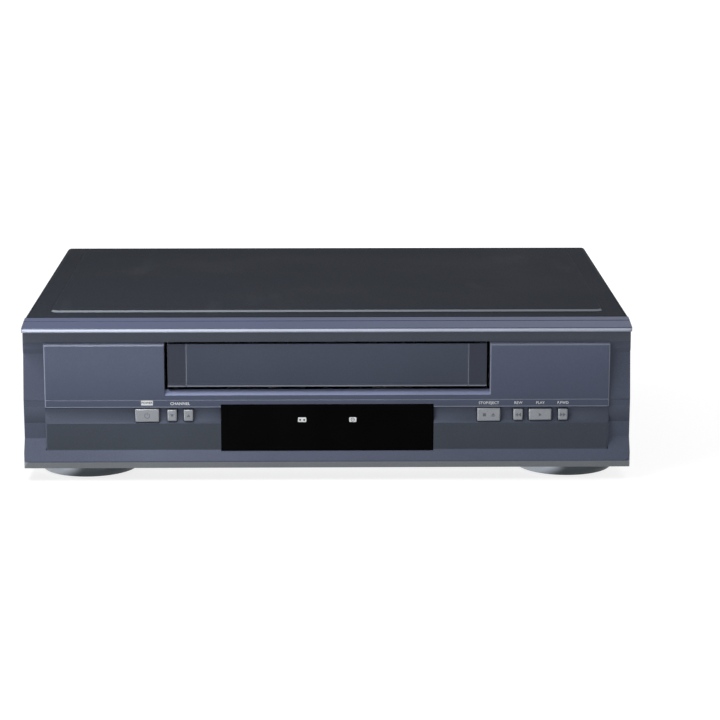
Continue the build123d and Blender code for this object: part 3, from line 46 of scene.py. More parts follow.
# Places on the recorder that the printed marks and small pieces stand on.
FACE_Y = -131.5              # flat of the front panel
WINDOW_Y = -131.4            # face of the display window
CAP_Y = -132.1               # face of the buttons' caps
REAR_Y = 127.0               # face of the rear panel
GROOVE_Z = 40.05             # middle of the groove that holds the buttons
LABEL_Z = 47.15              # middle of the words over the buttons
BUTTON_X = {                 # middle of the button on each body
    "power_key": -106.6, "channel_down_key": -91.9, "channel_up_key": -82.2, "stop_key": 95.6,
    "rewind_key": 113.0, "play_key": 126.1, "forward_key": 139.6,
}
SIGN_X = 15.0                # the window's two signs stand this far to each side
SIGN_Z = 37.2
JACK_X = (116.0, 130.0)
JACK_Z = (23.6, 38.6, 53.6)
JACK_END_Y = 135.0           # mouth of the phono jacks
AERIAL_X = 152.0
AERIAL_Z = (26.6, 48.6)
MAINS_X = -140.75
MAINS_Z = 21.6
STEP_FRONT_Y = -100.0        # front of the stamped step round the cover's roof
STEP_LOW_Z = 96.0
STEP_TOP_Z = 97.2
TAPE_FOOT_Z = 44.0           # the transformer's winding stands out above this

# Ends and heights of the front panel's parts, which the zones of its finish follow.
END_X = 179.2                # its ends, a little inside the side faces
FOOT_END_X = 179.8           # the same at its foot, which flares
PANEL_X = 167.0              # the raised main face
SLOT_X = 96.1                # the cassette slot
SEAM_X = 83.3                # the joints between the flap and its two ears
BEFORE_Y = -136.0            # in front of everything
FACE_OUT_Y = -131.7          # just in front of the flat face
FACE_IN_Y = -131.3           # just behind it
LIP_EDGE_Y = -133.35         # back of the lip's front edge
FLAP_OUT_Y = -131.0          # in front of the flap
FLAP_IN_Y = -129.5           # behind its face
FACE_FOOT_Z = 18.4
GROOVE_FOOT_Z = 35.1
FACE_TOP_Z = 83.0
FLAP_LOW_Z = 56.0            # below the flap
FLAP_FOOT_Z = 57.2           # its lower edge

# Printed marks.
FRONT = -1                   # the side that a mark faces
REAR = 1
INK = 0.04                   # height of a screen-printed mark
CAP_INK = 0.03               # height of a mark on a button's cap
CAPITAL = 0.7                # height of a capital letter as a share of the type's size


# ---------------------------------------------------------------- colours and shader nodes
def srgb(code, level=1.0):
    """A written sRGB hex colour as the linear colour that a shader socket takes, times level."""
    written = [int(code[i:i + 2], 16) / 255 for i in (0, 2, 4)]
    linear = [c / 12.92 if c <= 0.04045 else ((c + 0.055) / 1.055) ** 2.4 for c in written]
    return tuple(level * c for c in linear) + (1.0,)


def first_output(node):
    """The first of a node's outputs that is in use."""
    return next(output for output in node.outputs if output.enabled)


def add(tree, kind, links=None, **settings):
    """Adds a shader node with its settings. links gives each input, by name or number, a number, a colour,
    another node, which stands for its first output in use, or one of a node's outputs."""
    node = tree.nodes.new("ShaderNode" + kind)
    for name, value in settings.items():
        setattr(node, name, value)
    for key, value in (links or {}).items():
        if isinstance(value, bpy.types.Node):
            value = first_output(value)
        if isinstance(value, bpy.types.NodeSocket):
            tree.links.new(value, node.inputs[key])
        else:
            node.inputs[key].default_value = value
    return node


def per_mm(size):
    """The scale of a pattern whose parts are size millimetres across, on Object coordinates in metres."""
    return 1.0 / (size * MM)


def finish(name, **constants):
    """A new material, its tree, its shader with these constants on its own sockets, and its Object
    coordinates. A socket's name is written with _ for a space."""
    material = bpy.data.materials.new(name)
    material.use_nodes = True
    tree = material.node_tree
    tree.nodes.clear()
    own = {key.replace("_", " "): value for key, value in constants.items()}
    shader = add(tree, "BsdfPrincipled", own)
    add(tree, "OutputMaterial", {"Surface": shader})
    return material, tree, shader, add(tree, "TexCoord").outputs["Object"]


def dress(tree, shader, **nodes):
    """Links nodes to the shader's sockets, whose names are written with _ for a space."""
    for key, node in nodes.items():
        tree.links.new(first_output(node), shader.inputs[key.replace("_", " ")])


def zone(tree, where, low, high):
    """1 inside the box of places between two corners, given in millimetres, and 0 outside it: the place is
    measured from the box's middle in half-widths, and the largest of its three parts is less than 1
    inside."""
    low, high = np.array(low, float) * MM, np.array(high, float) * MM
    box = {"Vector": where, "Location": (low + high) / 2, "Scale": (high - low) / 2}
    inside = add(tree, "Mapping", box, vector_type="TEXTURE")
    part = add(tree, "SeparateXYZ", {0: add(tree, "VectorMath", {0: inside}, operation="ABSOLUTE")})
    largest = add(tree, "Math", {0: part.outputs[0], 1: part.outputs[1]}, operation="MAXIMUM")
    largest = add(tree, "Math", {0: largest, 1: part.outputs[2]}, operation="MAXIMUM")
    return add(tree, "Math", {0: largest, 1: 1.0}, operation="LESS_THAN")


# In the materials below, Mix numbers its inputs 0 factor, 2 and 3 plain numbers, 6 and 7 colours. MapRange
# numbers them 0 value, 1 and 2 the range it comes from, 3 and 4 the range it goes to.

# ---------------------------------------------------------------- materials
def metallic_abs(name, colour, metallic, roughness, gloss=0.5, zones=()):
    """Injection-moulded ABS with a metallic lacquer: the eye sees a fine sparkle of flakes under an even
    satin sheen, a little cloudy every few centimetres. The real flake is 0.05 mm, and it is drawn at a
    third of a millimetre so that it shows. Each of zones is a box of places, its two corners in
    millimetres, with its own colours at its foot and its head, which blend up it, and its own roughness."""
    material, tree, shader, where = finish(name, Metallic=metallic, IOR=1.5, Specular_IOR_Level=gloss)
    height = add(tree, "SeparateXYZ", {0: where}).outputs[2]
    flakes = add(tree, "TexVoronoi", {"Vector": where, "Scale": per_mm(0.35)})
    sparkle = add(tree, "SeparateColor", {0: flakes.outputs["Color"]})
    cloud = add(tree, "TexNoise", {"Vector": where, "Scale": per_mm(45), "Detail": 3.0})
    peel = add(tree, "TexNoise", {"Vector": where, "Scale": per_mm(1.6), "Detail": 2.0})
    base = add(tree, "Mix", {0: sparkle, 6: srgb(colour, 0.91), 7: srgb(colour, 1.09)}, data_type="RGBA")
    rough = add(tree, "MapRange", {0: cloud, 1: 0.3, 2: 0.7, 3: roughness - 0.03, 4: roughness + 0.04})
    level = add(tree, "MapRange", {0: sparkle, 3: 0.93, 4: 1.07})
    twinkle = add(tree, "CombineColor", {0: level, 1: level, 2: level})
    # Most zones paint light and shade into the lacquer: highlights along edges, and faces darker towards
    # their foot.
    for low, high, foot_colour, head_colour, own_roughness in zones:
        here = zone(tree, where, low, high)
        rise = add(tree, "MapRange", {0: height, 1: low[2] * MM, 2: high[2] * MM})
        own = add(tree, "Mix", {0: rise, 6: srgb(foot_colour), 7: srgb(head_colour)}, data_type="RGBA")
        own = add(tree, "Mix", {0: 1.0, 6: own, 7: twinkle}, data_type="RGBA", blend_type="MULTIPLY")
        base = add(tree, "Mix", {0: here, 6: base, 7: own}, data_type="RGBA")
        rough = add(tree, "Mix", {0: here, 2: rough, 3: own_roughness}, data_type="FLOAT")
    shade = add(tree, "MapRange", {0: cloud, 1: 0.3, 2: 0.7, 3: 0.95, 4: 1.05})
    grey = add(tree, "CombineColor", {0: shade, 1: shade, 2: shade})
    dress(tree, shader, Roughness=rough,
          Base_Color=add(tree, "Mix", {0: 1.0, 6: base, 7: grey}, data_type="RGBA", blend_type="MULTIPLY"),
          Normal=add(tree, "Bump", {"Strength": 0.08, "Distance": 0.03 * MM, "Height": peel}))
    return material


def turned_foot_finish():
    """Plastic foot with a dark metallised skin. The rings left by turning its mould gather the light into
    pale bands down its side. Such rings are too fine to show, so they are drawn about half a millimetre
    apart, and the bands are painted into its colour as painted highlights, where the side faces left and a
    little to the front, or right and a little to the back."""
    material, tree, shader, where = finish("metallised_foot_skin_and_painted_highlight", Metallic=1.0, Anisotropic=0.85)
    rings = add(tree, "Mapping", {"Vector": where, "Scale": (5, 5, per_mm(0.45))})
    tool = add(tree, "TexNoise", {"Vector": rings, "Scale": 1.0, "Detail": 2.0})
    haze = add(tree, "TexNoise", {"Vector": where, "Scale": per_mm(10), "Detail": 3.0})
    normal = add(tree, "TexCoord").outputs["Normal"]
    # painted highlight: pale bands are painted where the side faces along this line, either way
    painted_highlight_side = (-0.84, -0.54, 0)
    facing = add(tree, "VectorMath", {0: normal, 1: painted_highlight_side}, operation="DOT_PRODUCT").outputs["Value"]
    squared = add(tree, "Math", {0: facing, 1: 2.0}, operation="POWER")
    band = add(tree, "MapRange", {0: squared, 1: 0.3, 2: 0.7}, interpolation_type="SMOOTHSTEP")
    dark = add(tree, "Mix", {0: haze, 6: srgb("3b4044"), 7: srgb("494e52")}, data_type="RGBA")
    dress(tree, shader,
          Base_Color=add(tree, "Mix", {0: band, 6: dark, 7: srgb("a9afb8")}, data_type="RGBA"),
          Roughness=add(tree, "MapRange", {0: haze, 3: 0.32, 4: 0.4}),
          Tangent=add(tree, "Tangent", direction_type="RADIAL", axis="Z"),
          Normal=add(tree, "Bump", {"Strength": 0.6, "Distance": 0.12 * MM, "Height": tool}))
    return material


def textured_paint():
    """Baked texture paint on the steel cover: charcoal, with a fine leathery wrinkle about a millimetre
    across that breaks every highlight into an even haze. It is lighter and smoother along the front run of
    the stamped step of the roof, which is a painted highlight, and rubbed lighter faintly in streaks that
    run front to back, 125 mm long and 33 mm across."""
    material, tree, shader, where = finish("charcoal_textured_paint_and_painted_highlight", Specular_IOR_Level=0.02, IOR=1.5)
    skin_cells = {"Vector": where, "Scale": per_mm(1.1), "Smoothness": 0.6}
    wrinkle = add(tree, "TexVoronoi", skin_cells, feature="SMOOTH_F1")
    fine = add(tree, "TexNoise", {"Vector": where, "Scale": per_mm(0.6), "Detail": 3.0})
    cloud = add(tree, "TexNoise", {"Vector": where, "Scale": per_mm(90), "Detail": 4.0})
    swept = add(tree, "Mapping", {"Vector": where, "Scale": (30, 8, 30)})
    rub = add(tree, "TexNoise", {"Vector": swept, "Scale": 1.0, "Detail": 5.0})
    hollow = add(tree, "MapRange", {0: wrinkle, 1: 0.0, 2: 0.7, 3: 1.0, 4: 0.0})
    base = add(tree, "Mix", {0: hollow, 6: srgb("191c23"), 7: srgb("22262d")}, data_type="RGBA")
    patch = add(tree, "MapRange", {0: cloud, 1: 0.4, 2: 0.7, 3: 0.0, 4: 0.3})
    base = add(tree, "Mix", {0: patch, 6: base, 7: srgb("282c33")}, data_type="RGBA")
    worn = add(tree, "MapRange", {0: rub, 1: 0.62, 2: 0.75, 3: 0.0, 4: 0.15})
    base = add(tree, "Mix", {0: worn, 6: base, 7: srgb("43474e")}, data_type="RGBA")
    beyond = 500
    # painted highlight: the front run of the roof's step is drawn lighter
    step = zone(tree, where, (-beyond, STEP_FRONT_Y - 3, STEP_LOW_Z + 0.1),
                (beyond, STEP_FRONT_Y + 3, STEP_TOP_Z - 0.08))
    base = add(tree, "Mix", {0: step, 6: base, 7: srgb("757a82")}, data_type="RGBA")
    rough = add(tree, "MapRange", {0: cloud, 1: 0.3, 2: 0.7, 3: 0.62, 4: 0.72})
    grain = add(tree, "Math", {0: hollow, 1: fine}, operation="ADD")
    dress(tree, shader, Base_Color=base,
          Roughness=add(tree, "Mix", {0: step, 2: rough, 3: 0.4}, data_type="FLOAT"),
          Normal=add(tree, "Bump", {"Strength": 0.35, "Distance": 0.05 * MM, "Height": grain}))
    return material


def smoked_acrylic():
    """Cast acrylic tinted almost black: a deep even gloss, with a few hairlines from wiping, 0.7 mm apart
    and 17 mm long."""
    material, tree, shader, where = finish("smoked_acrylic", IOR=1.49, Specular_IOR_Level=0.02)
    along = add(tree, "Mapping", {"Vector": where, "Scale": (60, 60, 1500)})
    wipe = add(tree, "TexNoise", {"Vector": along, "Scale": 1.0, "Detail": 4.0})
    smear = add(tree, "TexNoise", {"Vector": where, "Scale": per_mm(30), "Detail": 2.0})
    shade = add(tree, "MapRange", {0: smear, 1: 0.35, 2: 0.7, 3: 0.0, 4: 1.0})
    dress(tree, shader,
          Base_Color=add(tree, "Mix", {0: shade, 6: srgb("020202"), 7: srgb("050505")}, data_type="RGBA"),
          Roughness=add(tree, "MapRange", {0: wipe, 1: 0.4, 2: 0.7, 3: 0.05, 4: 0.1}))
    return material


def moulded_rubber(name, colour):
    """Moulded rubber: black with a grey bloom in patches, and a fine matt skin."""
    material, tree, shader, where = finish(name, IOR=1.52, Specular_IOR_Level=0.35)
    bloom = add(tree, "TexNoise", {"Vector": where, "Scale": per_mm(9), "Detail": 4.0})
    matt = add(tree, "TexNoise", {"Vector": where, "Scale": per_mm(0.5), "Detail": 2.0})
    grey = add(tree, "MapRange", {0: bloom, 1: 0.45, 2: 0.75, 3: 0.0, 4: 0.35})
    dress(tree, shader,
          Base_Color=add(tree, "Mix", {0: grey, 6: srgb(colour), 7: srgb("4a4a48")}, data_type="RGBA"),
          Roughness=add(tree, "MapRange", {0: bloom, 1: 0.3, 2: 0.7, 3: 0.7, 4: 0.88}),
          Normal=add(tree, "Bump", {"Strength": 0.3, "Distance": 0.05 * MM, "Height": matt}))
    return material


def zinc_plated_steel():
    """Electro-galvanised sheet: an even cool grey with a dull satin sheen, faint straight lines from
    rolling, 0.4 mm apart, and slightly duller patches a few centimetres across where hands and presses
    touched it."""
    material, tree, shader, where = finish("zinc_plated_steel", Metallic=1.0)
    along = add(tree, "Mapping", {"Vector": where, "Scale": (12, 2400, 2400)})
    rolled = add(tree, "TexNoise", {"Vector": along, "Scale": 1.0, "Detail": 2.0})
    stain = add(tree, "TexNoise", {"Vector": where, "Scale": per_mm(28), "Detail": 5.0})
    grain = add(tree, "TexNoise", {"Vector": where, "Scale": per_mm(0.8), "Detail": 2.0})
    base = add(tree, "Mix", {0: grain, 6: srgb("a0a3a6"), 7: srgb("acaeb0")}, data_type="RGBA")
    dull = add(tree, "MapRange", {0: stain, 1: 0.45, 2: 0.75, 3: 0.0, 4: 0.3})
    sheen = add(tree, "MapRange", {0: stain, 1: 0.3, 2: 0.7, 3: 0.38, 4: 0.48})
    lines = add(tree, "MapRange", {0: rolled, 3: -0.03, 4: 0.05})
    dress(tree, shader,
          Base_Color=add(tree, "Mix", {0: dull, 6: base, 7: srgb("8a8d90")}, data_type="RGBA"),
          Roughness=add(tree, "Math", {0: sheen, 1: lines}, operation="ADD"),
          Normal=add(tree, "Bump", {"Strength": 0.1, "Distance": 0.02 * MM, "Height": rolled}))
    return material


def turned_metal(name, light, dark, roughness, pitch=0.25):
    """Metal turned or ground on a machine: bright, with tool lines every fraction of a millimetre up its
    height."""
    material, tree, shader, where = finish(name, Metallic=1.0)
    along = add(tree, "Mapping", {"Vector": where, "Scale": (20, 20, per_mm(pitch))})
    lines = add(tree, "TexNoise", {"Vector": along, "Scale": 1.0, "Detail": 1.0})
    haze = add(tree, "TexNoise", {"Vector": where, "Scale": per_mm(12), "Detail": 3.0})
    cut = add(tree, "MapRange", {0: lines, 1: 0.3, 2: 0.7, 3: 0.0, 4: 1.0})
    dull = add(tree, "MapRange", {0: haze, 1: 0.3, 2: 0.7, 3: roughness - 0.06, 4: roughness + 0.06})
    groove = add(tree, "MapRange", {0: cut, 3: -0.03, 4: 0.05})
    dress(tree, shader,
          Base_Color=add(tree, "Mix", {0: cut, 6: srgb(dark), 7: srgb(light)}, data_type="RGBA"),
          Roughness=add(tree, "Math", {0: dull, 1: groove}, operation="ADD"),
          Normal=add(tree, "Bump", {"Strength": 0.15, "Distance": 0.02 * MM, "Height": lines}))
    return material


def phenolic_board():
    """Phenolic paper circuit board: warm tan with darker resin flecks, and dotted every few millimetres
    with the dull silver of soldered joints."""
    material, tree, shader, where = finish("phenolic_circuit_board", IOR=1.55)
    fleck = add(tree, "TexNoise", {"Vector": where, "Scale": per_mm(1.2), "Detail": 4.0})
    joints = add(tree, "TexVoronoi", {"Vector": where, "Scale": per_mm(3.6)})
    paper = add(tree, "MapRange", {0: fleck, 1: 0.35, 2: 0.65, 3: 0.0, 4: 1.0})
    base = add(tree, "Mix", {0: paper, 6: srgb("6f5731"), 7: srgb("89693b")}, data_type="RGBA")
    solder = add(tree, "MapRange", {0: joints, 1: 0.14, 2: 0.19, 3: 1.0, 4: 0.0})
    rough = add(tree, "MapRange", {0: fleck, 1: 0.3, 2: 0.7, 3: 0.42, 4: 0.6})
    dress(tree, shader, Metallic=solder,
          Base_Color=add(tree, "Mix", {0: solder, 6: base, 7: srgb("a9abac")}, data_type="RGBA"),
          Roughness=add(tree, "Mix", {0: solder, 2: rough, 3: 0.3}, data_type="FLOAT"))
    return material


def moulded_plastic(name, colour, light, roughness, milky=0.0):
    """Plain moulded plastic: an even colour with the fine spark-eroded grain of its mould, and a little
    light carried inside it where it is a pale one."""
    material, tree, shader, where = finish(name, IOR=1.5, Subsurface_Weight=milky,
                                           Subsurface_Radius=(1.0, 1.0, 0.9), Subsurface_Scale=0.6 * MM)
    mould = add(tree, "TexNoise", {"Vector": where, "Scale": per_mm(0.7), "Detail": 3.0})
    flow = add(tree, "TexNoise", {"Vector": where, "Scale": per_mm(16), "Detail": 3.0})
    shade = add(tree, "MapRange", {0: flow, 1: 0.35, 2: 0.65, 3: 0.0, 4: 1.0})
    rough = {0: flow, 1: 0.3, 2: 0.7, 3: roughness - 0.05, 4: roughness + 0.06}
    dress(tree, shader,
          Base_Color=add(tree, "Mix", {0: shade, 6: srgb(colour), 7: srgb(light)}, data_type="RGBA"),
          Roughness=add(tree, "MapRange", rough),
          Normal=add(tree, "Bump", {"Strength": 0.2, "Distance": 0.03 * MM, "Height": mould}))
    return material


def ferrite_and_tape():
    """A mains transformer: a dark sintered ferrite core round a winding wrapped in amber polyester tape,
    which stands out above it."""
    material, tree, shader, where = finish("ferrite_and_polyester_tape", IOR=1.6)
    grain = add(tree, "TexNoise", {"Vector": where, "Scale": per_mm(0.5), "Detail": 3.0})
    height = add(tree, "SeparateXYZ", {0: where}).outputs[2]
    taped = add(tree, "Math", {0: height, 1: TAPE_FOOT_Z * MM}, operation="GREATER_THAN")
    core = add(tree, "Mix", {0: grain, 6: srgb("2a2928"), 7: srgb("45433f")}, data_type="RGBA")
    tape = add(tree, "Mix", {0: grain, 6: srgb("a5762b"), 7: srgb("c08c38")}, data_type="RGBA")
    dress(tree, shader, Base_Color=add(tree, "Mix", {0: taped, 6: core, 7: tape}, data_type="RGBA"),
          Roughness=add(tree, "MapRange", {0: grain, 3: 0.35, 4: 0.6}))
    return material


def capacitor_sleeve():
    """Electrolytic cans: shrunk vinyl sleeve in dark blue, scuffed, a little shiny."""
    material, tree, shader, where = finish("shrunk_vinyl_sleeve", IOR=1.53)
    scuff = add(tree, "TexNoise", {"Vector": where, "Scale": per_mm(3), "Detail": 5.0})
    pale = add(tree, "MapRange", {0: scuff, 1: 0.4, 2: 0.7, 3: 0.0, 4: 1.0})
    dress(tree, shader,
          Base_Color=add(tree, "Mix", {0: pale, 6: srgb("141b30"), 7: srgb("27314c")}, data_type="RGBA"),
          Roughness=add(tree, "MapRange", {0: scuff, 1: 0.3, 2: 0.7, 3: 0.25, 4: 0.45}))
    return material


def display_glass():
    """The glass of a fluorescent display tube: green-grey, glossy, with its grid of control wires showing
    through, in cells 4 mm wide and 2 mm tall."""
    material, tree, shader, where = finish("display_tube_glass", IOR=1.52, Coat_Weight=1.0,
                                           Coat_Roughness=0.03)
    upright = add(tree, "Mapping", {"Vector": where, "Rotation": (math.radians(90), 0, 0)})
    grid = add(tree, "TexBrick", {"Vector": upright, "Scale": per_mm(8), "Mortar Size": 0.05})
    wires = grid.outputs["Fac"]
    dress(tree, shader,
          Base_Color=add(tree, "Mix", {0: wires, 6: srgb("1d2523"), 7: srgb("6f7c78")}, data_type="RGBA"),
          Roughness=add(tree, "MapRange", {0: wires, 3: 0.12, 4: 0.3}))
    return material


def flat_cable():
    """Flat flexible cable: pale film with tinned conductors under it. The real ones are a millimetre
    apart, which is too fine to show, so a millimetre is one radian of the wave that draws them, and they
    lie 6.3 mm apart."""
    material, tree, shader, where = finish("flat_flexible_cable", IOR=1.6)
    radians = 20.0                      # what the wave texture goes round by in one unit of scale
    stripes = {"Vector": where, "Scale": per_mm(1.0) / radians}
    across = add(tree, "TexWave", stripes, bands_direction="X")
    band = add(tree, "MapRange", {0: across.outputs["Fac"], 1: 0.4, 2: 0.6, 3: 0.0, 4: 1.0})
    dress(tree, shader,
          Base_Color=add(tree, "Mix", {0: band, 6: srgb("e4e4e0"), 7: srgb("9ea1a4")}, data_type="RGBA"),
          Roughness=add(tree, "MapRange", {0: band, 3: 0.5, 4: 0.28}))
    return material


def screen_ink(name, colour):
    """Screen-printed ink: flat, matt, and a touch uneven where the mesh left less of it."""
    material, tree, shader, where = finish(name, IOR=1.48)
    cover = add(tree, "TexNoise", {"Vector": where, "Scale": per_mm(0.4), "Detail": 2.0})
    full = add(tree, "MapRange", {0: cover, 1: 0.3, 2: 0.6, 3: 0.0, 4: 1.0})
    dress(tree, shader,
          Base_Color=add(tree, "Mix", {0: full, 6: srgb(colour, 0.86), 7: srgb(colour)}, data_type="RGBA"),
          Roughness=add(tree, "MapRange", {0: cover, 3: 0.5, 4: 0.62}))
    return material


def phono_jack():
    """The jack block: black ABS, with a nickel shell on each jack's barrel. The shell is told from the
    block by how far it stands out behind the rear panel."""
    material, tree, shader, where = finish("black_abs_and_nickel_shell", IOR=1.5)
    back = add(tree, "SeparateXYZ", {0: where}).outputs[1]
    shell = add(tree, "Math", {0: back, 1: (REAR_Y + 0.2) * MM}, operation="GREATER_THAN")
    grain = add(tree, "TexNoise", {"Vector": where, "Scale": per_mm(0.7), "Detail": 3.0})
    haze = add(tree, "TexNoise", {"Vector": where, "Scale": per_mm(4), "Detail": 3.0})
    block = add(tree, "Mix", {0: grain, 6: srgb("19191a"), 7: srgb("242425")}, data_type="RGBA")
    nickel = add(tree, "Mix", {0: haze, 6: srgb("b9b5ab"), 7: srgb("cdc9bf")}, data_type="RGBA")
    bright = add(tree, "MapRange", {0: haze, 3: 0.18, 4: 0.36})
    dress(tree, shader, Metallic=shell,
          Base_Color=add(tree, "Mix", {0: shell, 6: block, 7: nickel}, data_type="RGBA"),
          Roughness=add(tree, "Mix", {0: shell, 2: 0.55, 3: bright}, data_type="FLOAT"))
    return material


# Each zone: low corner, high corner, colour at its foot, colour at its head, roughness.
PAINTED_EDGE_HIGHLIGHT = "878da0"              # painted highlight along an edge, drawn as a thin bright line
# painted highlight along the fine line and the groove's upper edge
PAINTED_LINE_HIGHLIGHT = "8b91a1"
# painted highlight along the joints of the flap's ears and its lower edge
PAINTED_JOINT_HIGHLIGHT = "7d838f"
BEZEL_ZONES = (
    # the flat face, darker towards its foot: painted shade
    ((-PANEL_X, FACE_OUT_Y, GROOVE_FOOT_Z), (PANEL_X, FACE_IN_Y, FACE_TOP_Z + 0.1),
     "495062", "5b6277", 0.33),
    # its foot, darker still: painted shade
    ((-PANEL_X, FACE_OUT_Y, FACE_FOOT_Z), (PANEL_X, FACE_IN_Y, GROOVE_FOOT_Z), "424851", "444a54", 0.4),
    # the lip's top, a deeper blue, darkened to offset the light it gets from above: painted shade
    ((-END_X, LIP_EDGE_Y, 93.1), (END_X, -114, 96.0), "38405b", "38405b", 0.4),
    # the lip's edge, drawn pale: a painted highlight
    ((-END_X, BEFORE_Y, 90.4), (END_X, LIP_EDGE_Y, 92.6), "a6acbd", "a6acbd", 0.55),
    # the band under the lip
    ((-END_X, -128.2, 83.7), (END_X, -127.8, 90.4), "5a606c", "5a606c", 0.4),
    # the sill, drawn pale: a painted highlight
    ((-SLOT_X, -131.6, 52.2), (SLOT_X, -127, 54.9), "8890ae", "8890ae", 0.35),
    # the groove, rougher where the spray lies dry, and darker towards its foot: painted shade
    ((-END_X, -131.35, GROOVE_FOOT_Z), (END_X, -120, 45.0), "474c5a", "595f70", 0.6),
    # the chamfer below, lighter and greyer: a painted reflection of the pale floor
    ((-FOOT_END_X, BEFORE_Y, 0), (FOOT_END_X, -126, 12.4), "898e93", "898e93", 0.42),
    # painted highlights on the main face's top edge, its two ends, and the edge at the right of the slot
    ((-PANEL_X, FACE_OUT_Y, 82.0), (PANEL_X, -127.9, FACE_TOP_Z + 0.1), PAINTED_EDGE_HIGHLIGHT, PAINTED_EDGE_HIGHLIGHT, 0.35),
    ((-PANEL_X - 0.1, FACE_OUT_Y, 45.0), (-PANEL_X + 0.7, -130.5, FACE_TOP_Z), PAINTED_EDGE_HIGHLIGHT, PAINTED_EDGE_HIGHLIGHT, 0.35),
    ((PANEL_X - 0.7, FACE_OUT_Y, 45.0), (PANEL_X + 0.1, -130.5, FACE_TOP_Z), PAINTED_EDGE_HIGHLIGHT, PAINTED_EDGE_HIGHLIGHT, 0.35),
    ((SLOT_X, FACE_OUT_Y, 52.3), (SLOT_X + 0.6, FACE_IN_Y, FACE_TOP_Z), PAINTED_EDGE_HIGHLIGHT, PAINTED_EDGE_HIGHLIGHT, 0.35),
    # painted highlights on the fine line across the face and the groove's upper edge
    ((-PANEL_X, -131.45, 49.0), (PANEL_X, -130.9, 49.6), PAINTED_LINE_HIGHLIGHT, PAINTED_LINE_HIGHLIGHT, 0.4),
    ((-PANEL_X, FACE_OUT_Y, 44.85), (PANEL_X, -131.4, 45.35), PAINTED_LINE_HIGHLIGHT, PAINTED_LINE_HIGHLIGHT, 0.35),
)
DOOR_ZONES = (
    # the flap's face, darker towards its foot: painted shade
    ((-SLOT_X, FLAP_OUT_Y, FLAP_LOW_Z), (SLOT_X, FLAP_IN_Y, FACE_TOP_Z), "424756", "4b5160", 0.36),
    # its two ears, darker: painted shade of the deep gaps beside them
    ((-SLOT_X, FLAP_OUT_Y, FLAP_LOW_Z), (-SEAM_X, FLAP_IN_Y, FACE_TOP_Z), "3c404b", "3f4350", 0.36),
    ((SEAM_X, FLAP_OUT_Y, FLAP_LOW_Z), (SLOT_X, FLAP_IN_Y, FACE_TOP_Z), "3c404b", "3f4350", 0.36),
    # painted highlights on the joints of the ears
    ((-SEAM_X - 0.35, FLAP_OUT_Y, 57), (-SEAM_X + 0.35, -129.6, FACE_TOP_Z), PAINTED_JOINT_HIGHLIGHT, PAINTED_JOINT_HIGHLIGHT, 0.4),
    ((SEAM_X - 0.35, FLAP_OUT_Y, 57), (SEAM_X + 0.35, -129.6, FACE_TOP_Z), PAINTED_JOINT_HIGHLIGHT, PAINTED_JOINT_HIGHLIGHT, 0.4),
    # a painted highlight on its rolled lower edge
    ((-SLOT_X, FLAP_OUT_Y, FLAP_LOW_Z), (SLOT_X, -127, FLAP_FOOT_Z + 0.8), PAINTED_JOINT_HIGHLIGHT, PAINTED_JOINT_HIGHLIGHT, 0.4),
)
MATERIALS = {
    "bezel": metallic_abs("blue_grey_metallic_abs_and_painted_light", "525869", 0.15, 0.33, gloss=0.12, zones=BEZEL_ZONES),
    "cover": textured_paint(),
    "window": smoked_acrylic(),
    "button": metallic_abs("silver_lacquered_abs", "8c9096", 0.4, 0.36),
    "foot": turned_foot_finish(),
    "pad": moulded_rubber("moulded_foot_rubber", "1c1c1c"),
    "zinc_steel": zinc_plated_steel(),
    "screw": turned_metal("zinc_plated_screw", "a9abad", "8c8e91", 0.3),
    "board": phenolic_board(),
    "black_plastic": moulded_plastic("black_moulded_abs", "141415", "1d1d1e", 0.5),
    "transformer": ferrite_and_tape(),
    "aluminium": turned_metal("turned_aluminium", "d3d4d6", "bfc1c3", 0.24),
    "capacitor": capacitor_sleeve(),
    "glass": display_glass(),
    "nickel": turned_metal("nickel_plate", "cdc9bf", "bab6ab", 0.22),
    "steel": turned_metal("ground_steel", "b9babc", "a2a4a6", 0.22, pitch=0.15),
    "white_plastic": moulded_plastic("white_acetal", "dcdbd4", "e8e7e0", 0.38, milky=0.15),
    "rubber": moulded_rubber("nitrile_rubber", "161616"),
    "ribbon": flat_cable(),
}
OWN_FINISH = {
    "av_jacks": phono_jack(),
    "cassette_door": metallic_abs("door_metallic_abs_and_painted_light", "474c5a", 0.15, 0.36, gloss=0.12, zones=DOOR_ZONES),
}
WHITE_INK = screen_ink("white_screen_ink", "e6e8ea")
GREY_INK = screen_ink("grey_screen_ink", "5b6068")
BLACK_INK = screen_ink("black_screen_ink", "17181a")
RING_COLOURS = {"yellow": "d9ae1c", "white": "deddd7", "red": "a8221f"}
RING_FINISH = {key: moulded_plastic(key + "_jack_plastic", code, code, 0.35)
               for key, code in RING_COLOURS.items()}

slot_of = {part["node"]: part["material_slot"] for part in frame["record"]["subparts"]}
for node, thing in frame["nodes"].items():
    for place in thing.material_slots:
        place.material = OWN_FINISH.get(node, MATERIALS[slot_of[node]])


# ---------------------------------------------------------------- softened edges on the CAD nodes
def soften(node, width):
    """Rounds a CAD node's sharp edges: its loose triangles are welded, flat faces made whole, and every
    edge that turns by more than 28 degrees gets a two-step bevel of width millimetres."""
    thing = frame["nodes"][node]
    weld = thing.modifiers.new("weld", "WELD")
    weld.merge_threshold = 0.002 * MM
    whole = thing.modifiers.new("whole_faces", "DECIMATE")
    whole.decimate_type = "DISSOLVE"
    whole.angle_limit = math.radians(0.5)
    bevel = thing.modifiers.new("edge", "BEVEL")
    bevel.width = width * MM
    bevel.segments = 2
    bevel.limit_method = "ANGLE"
    bevel.angle_limit = math.radians(28)
    bevel.use_clamp_overlap = False
    bevel.miter_outer = "MITER_ARC"


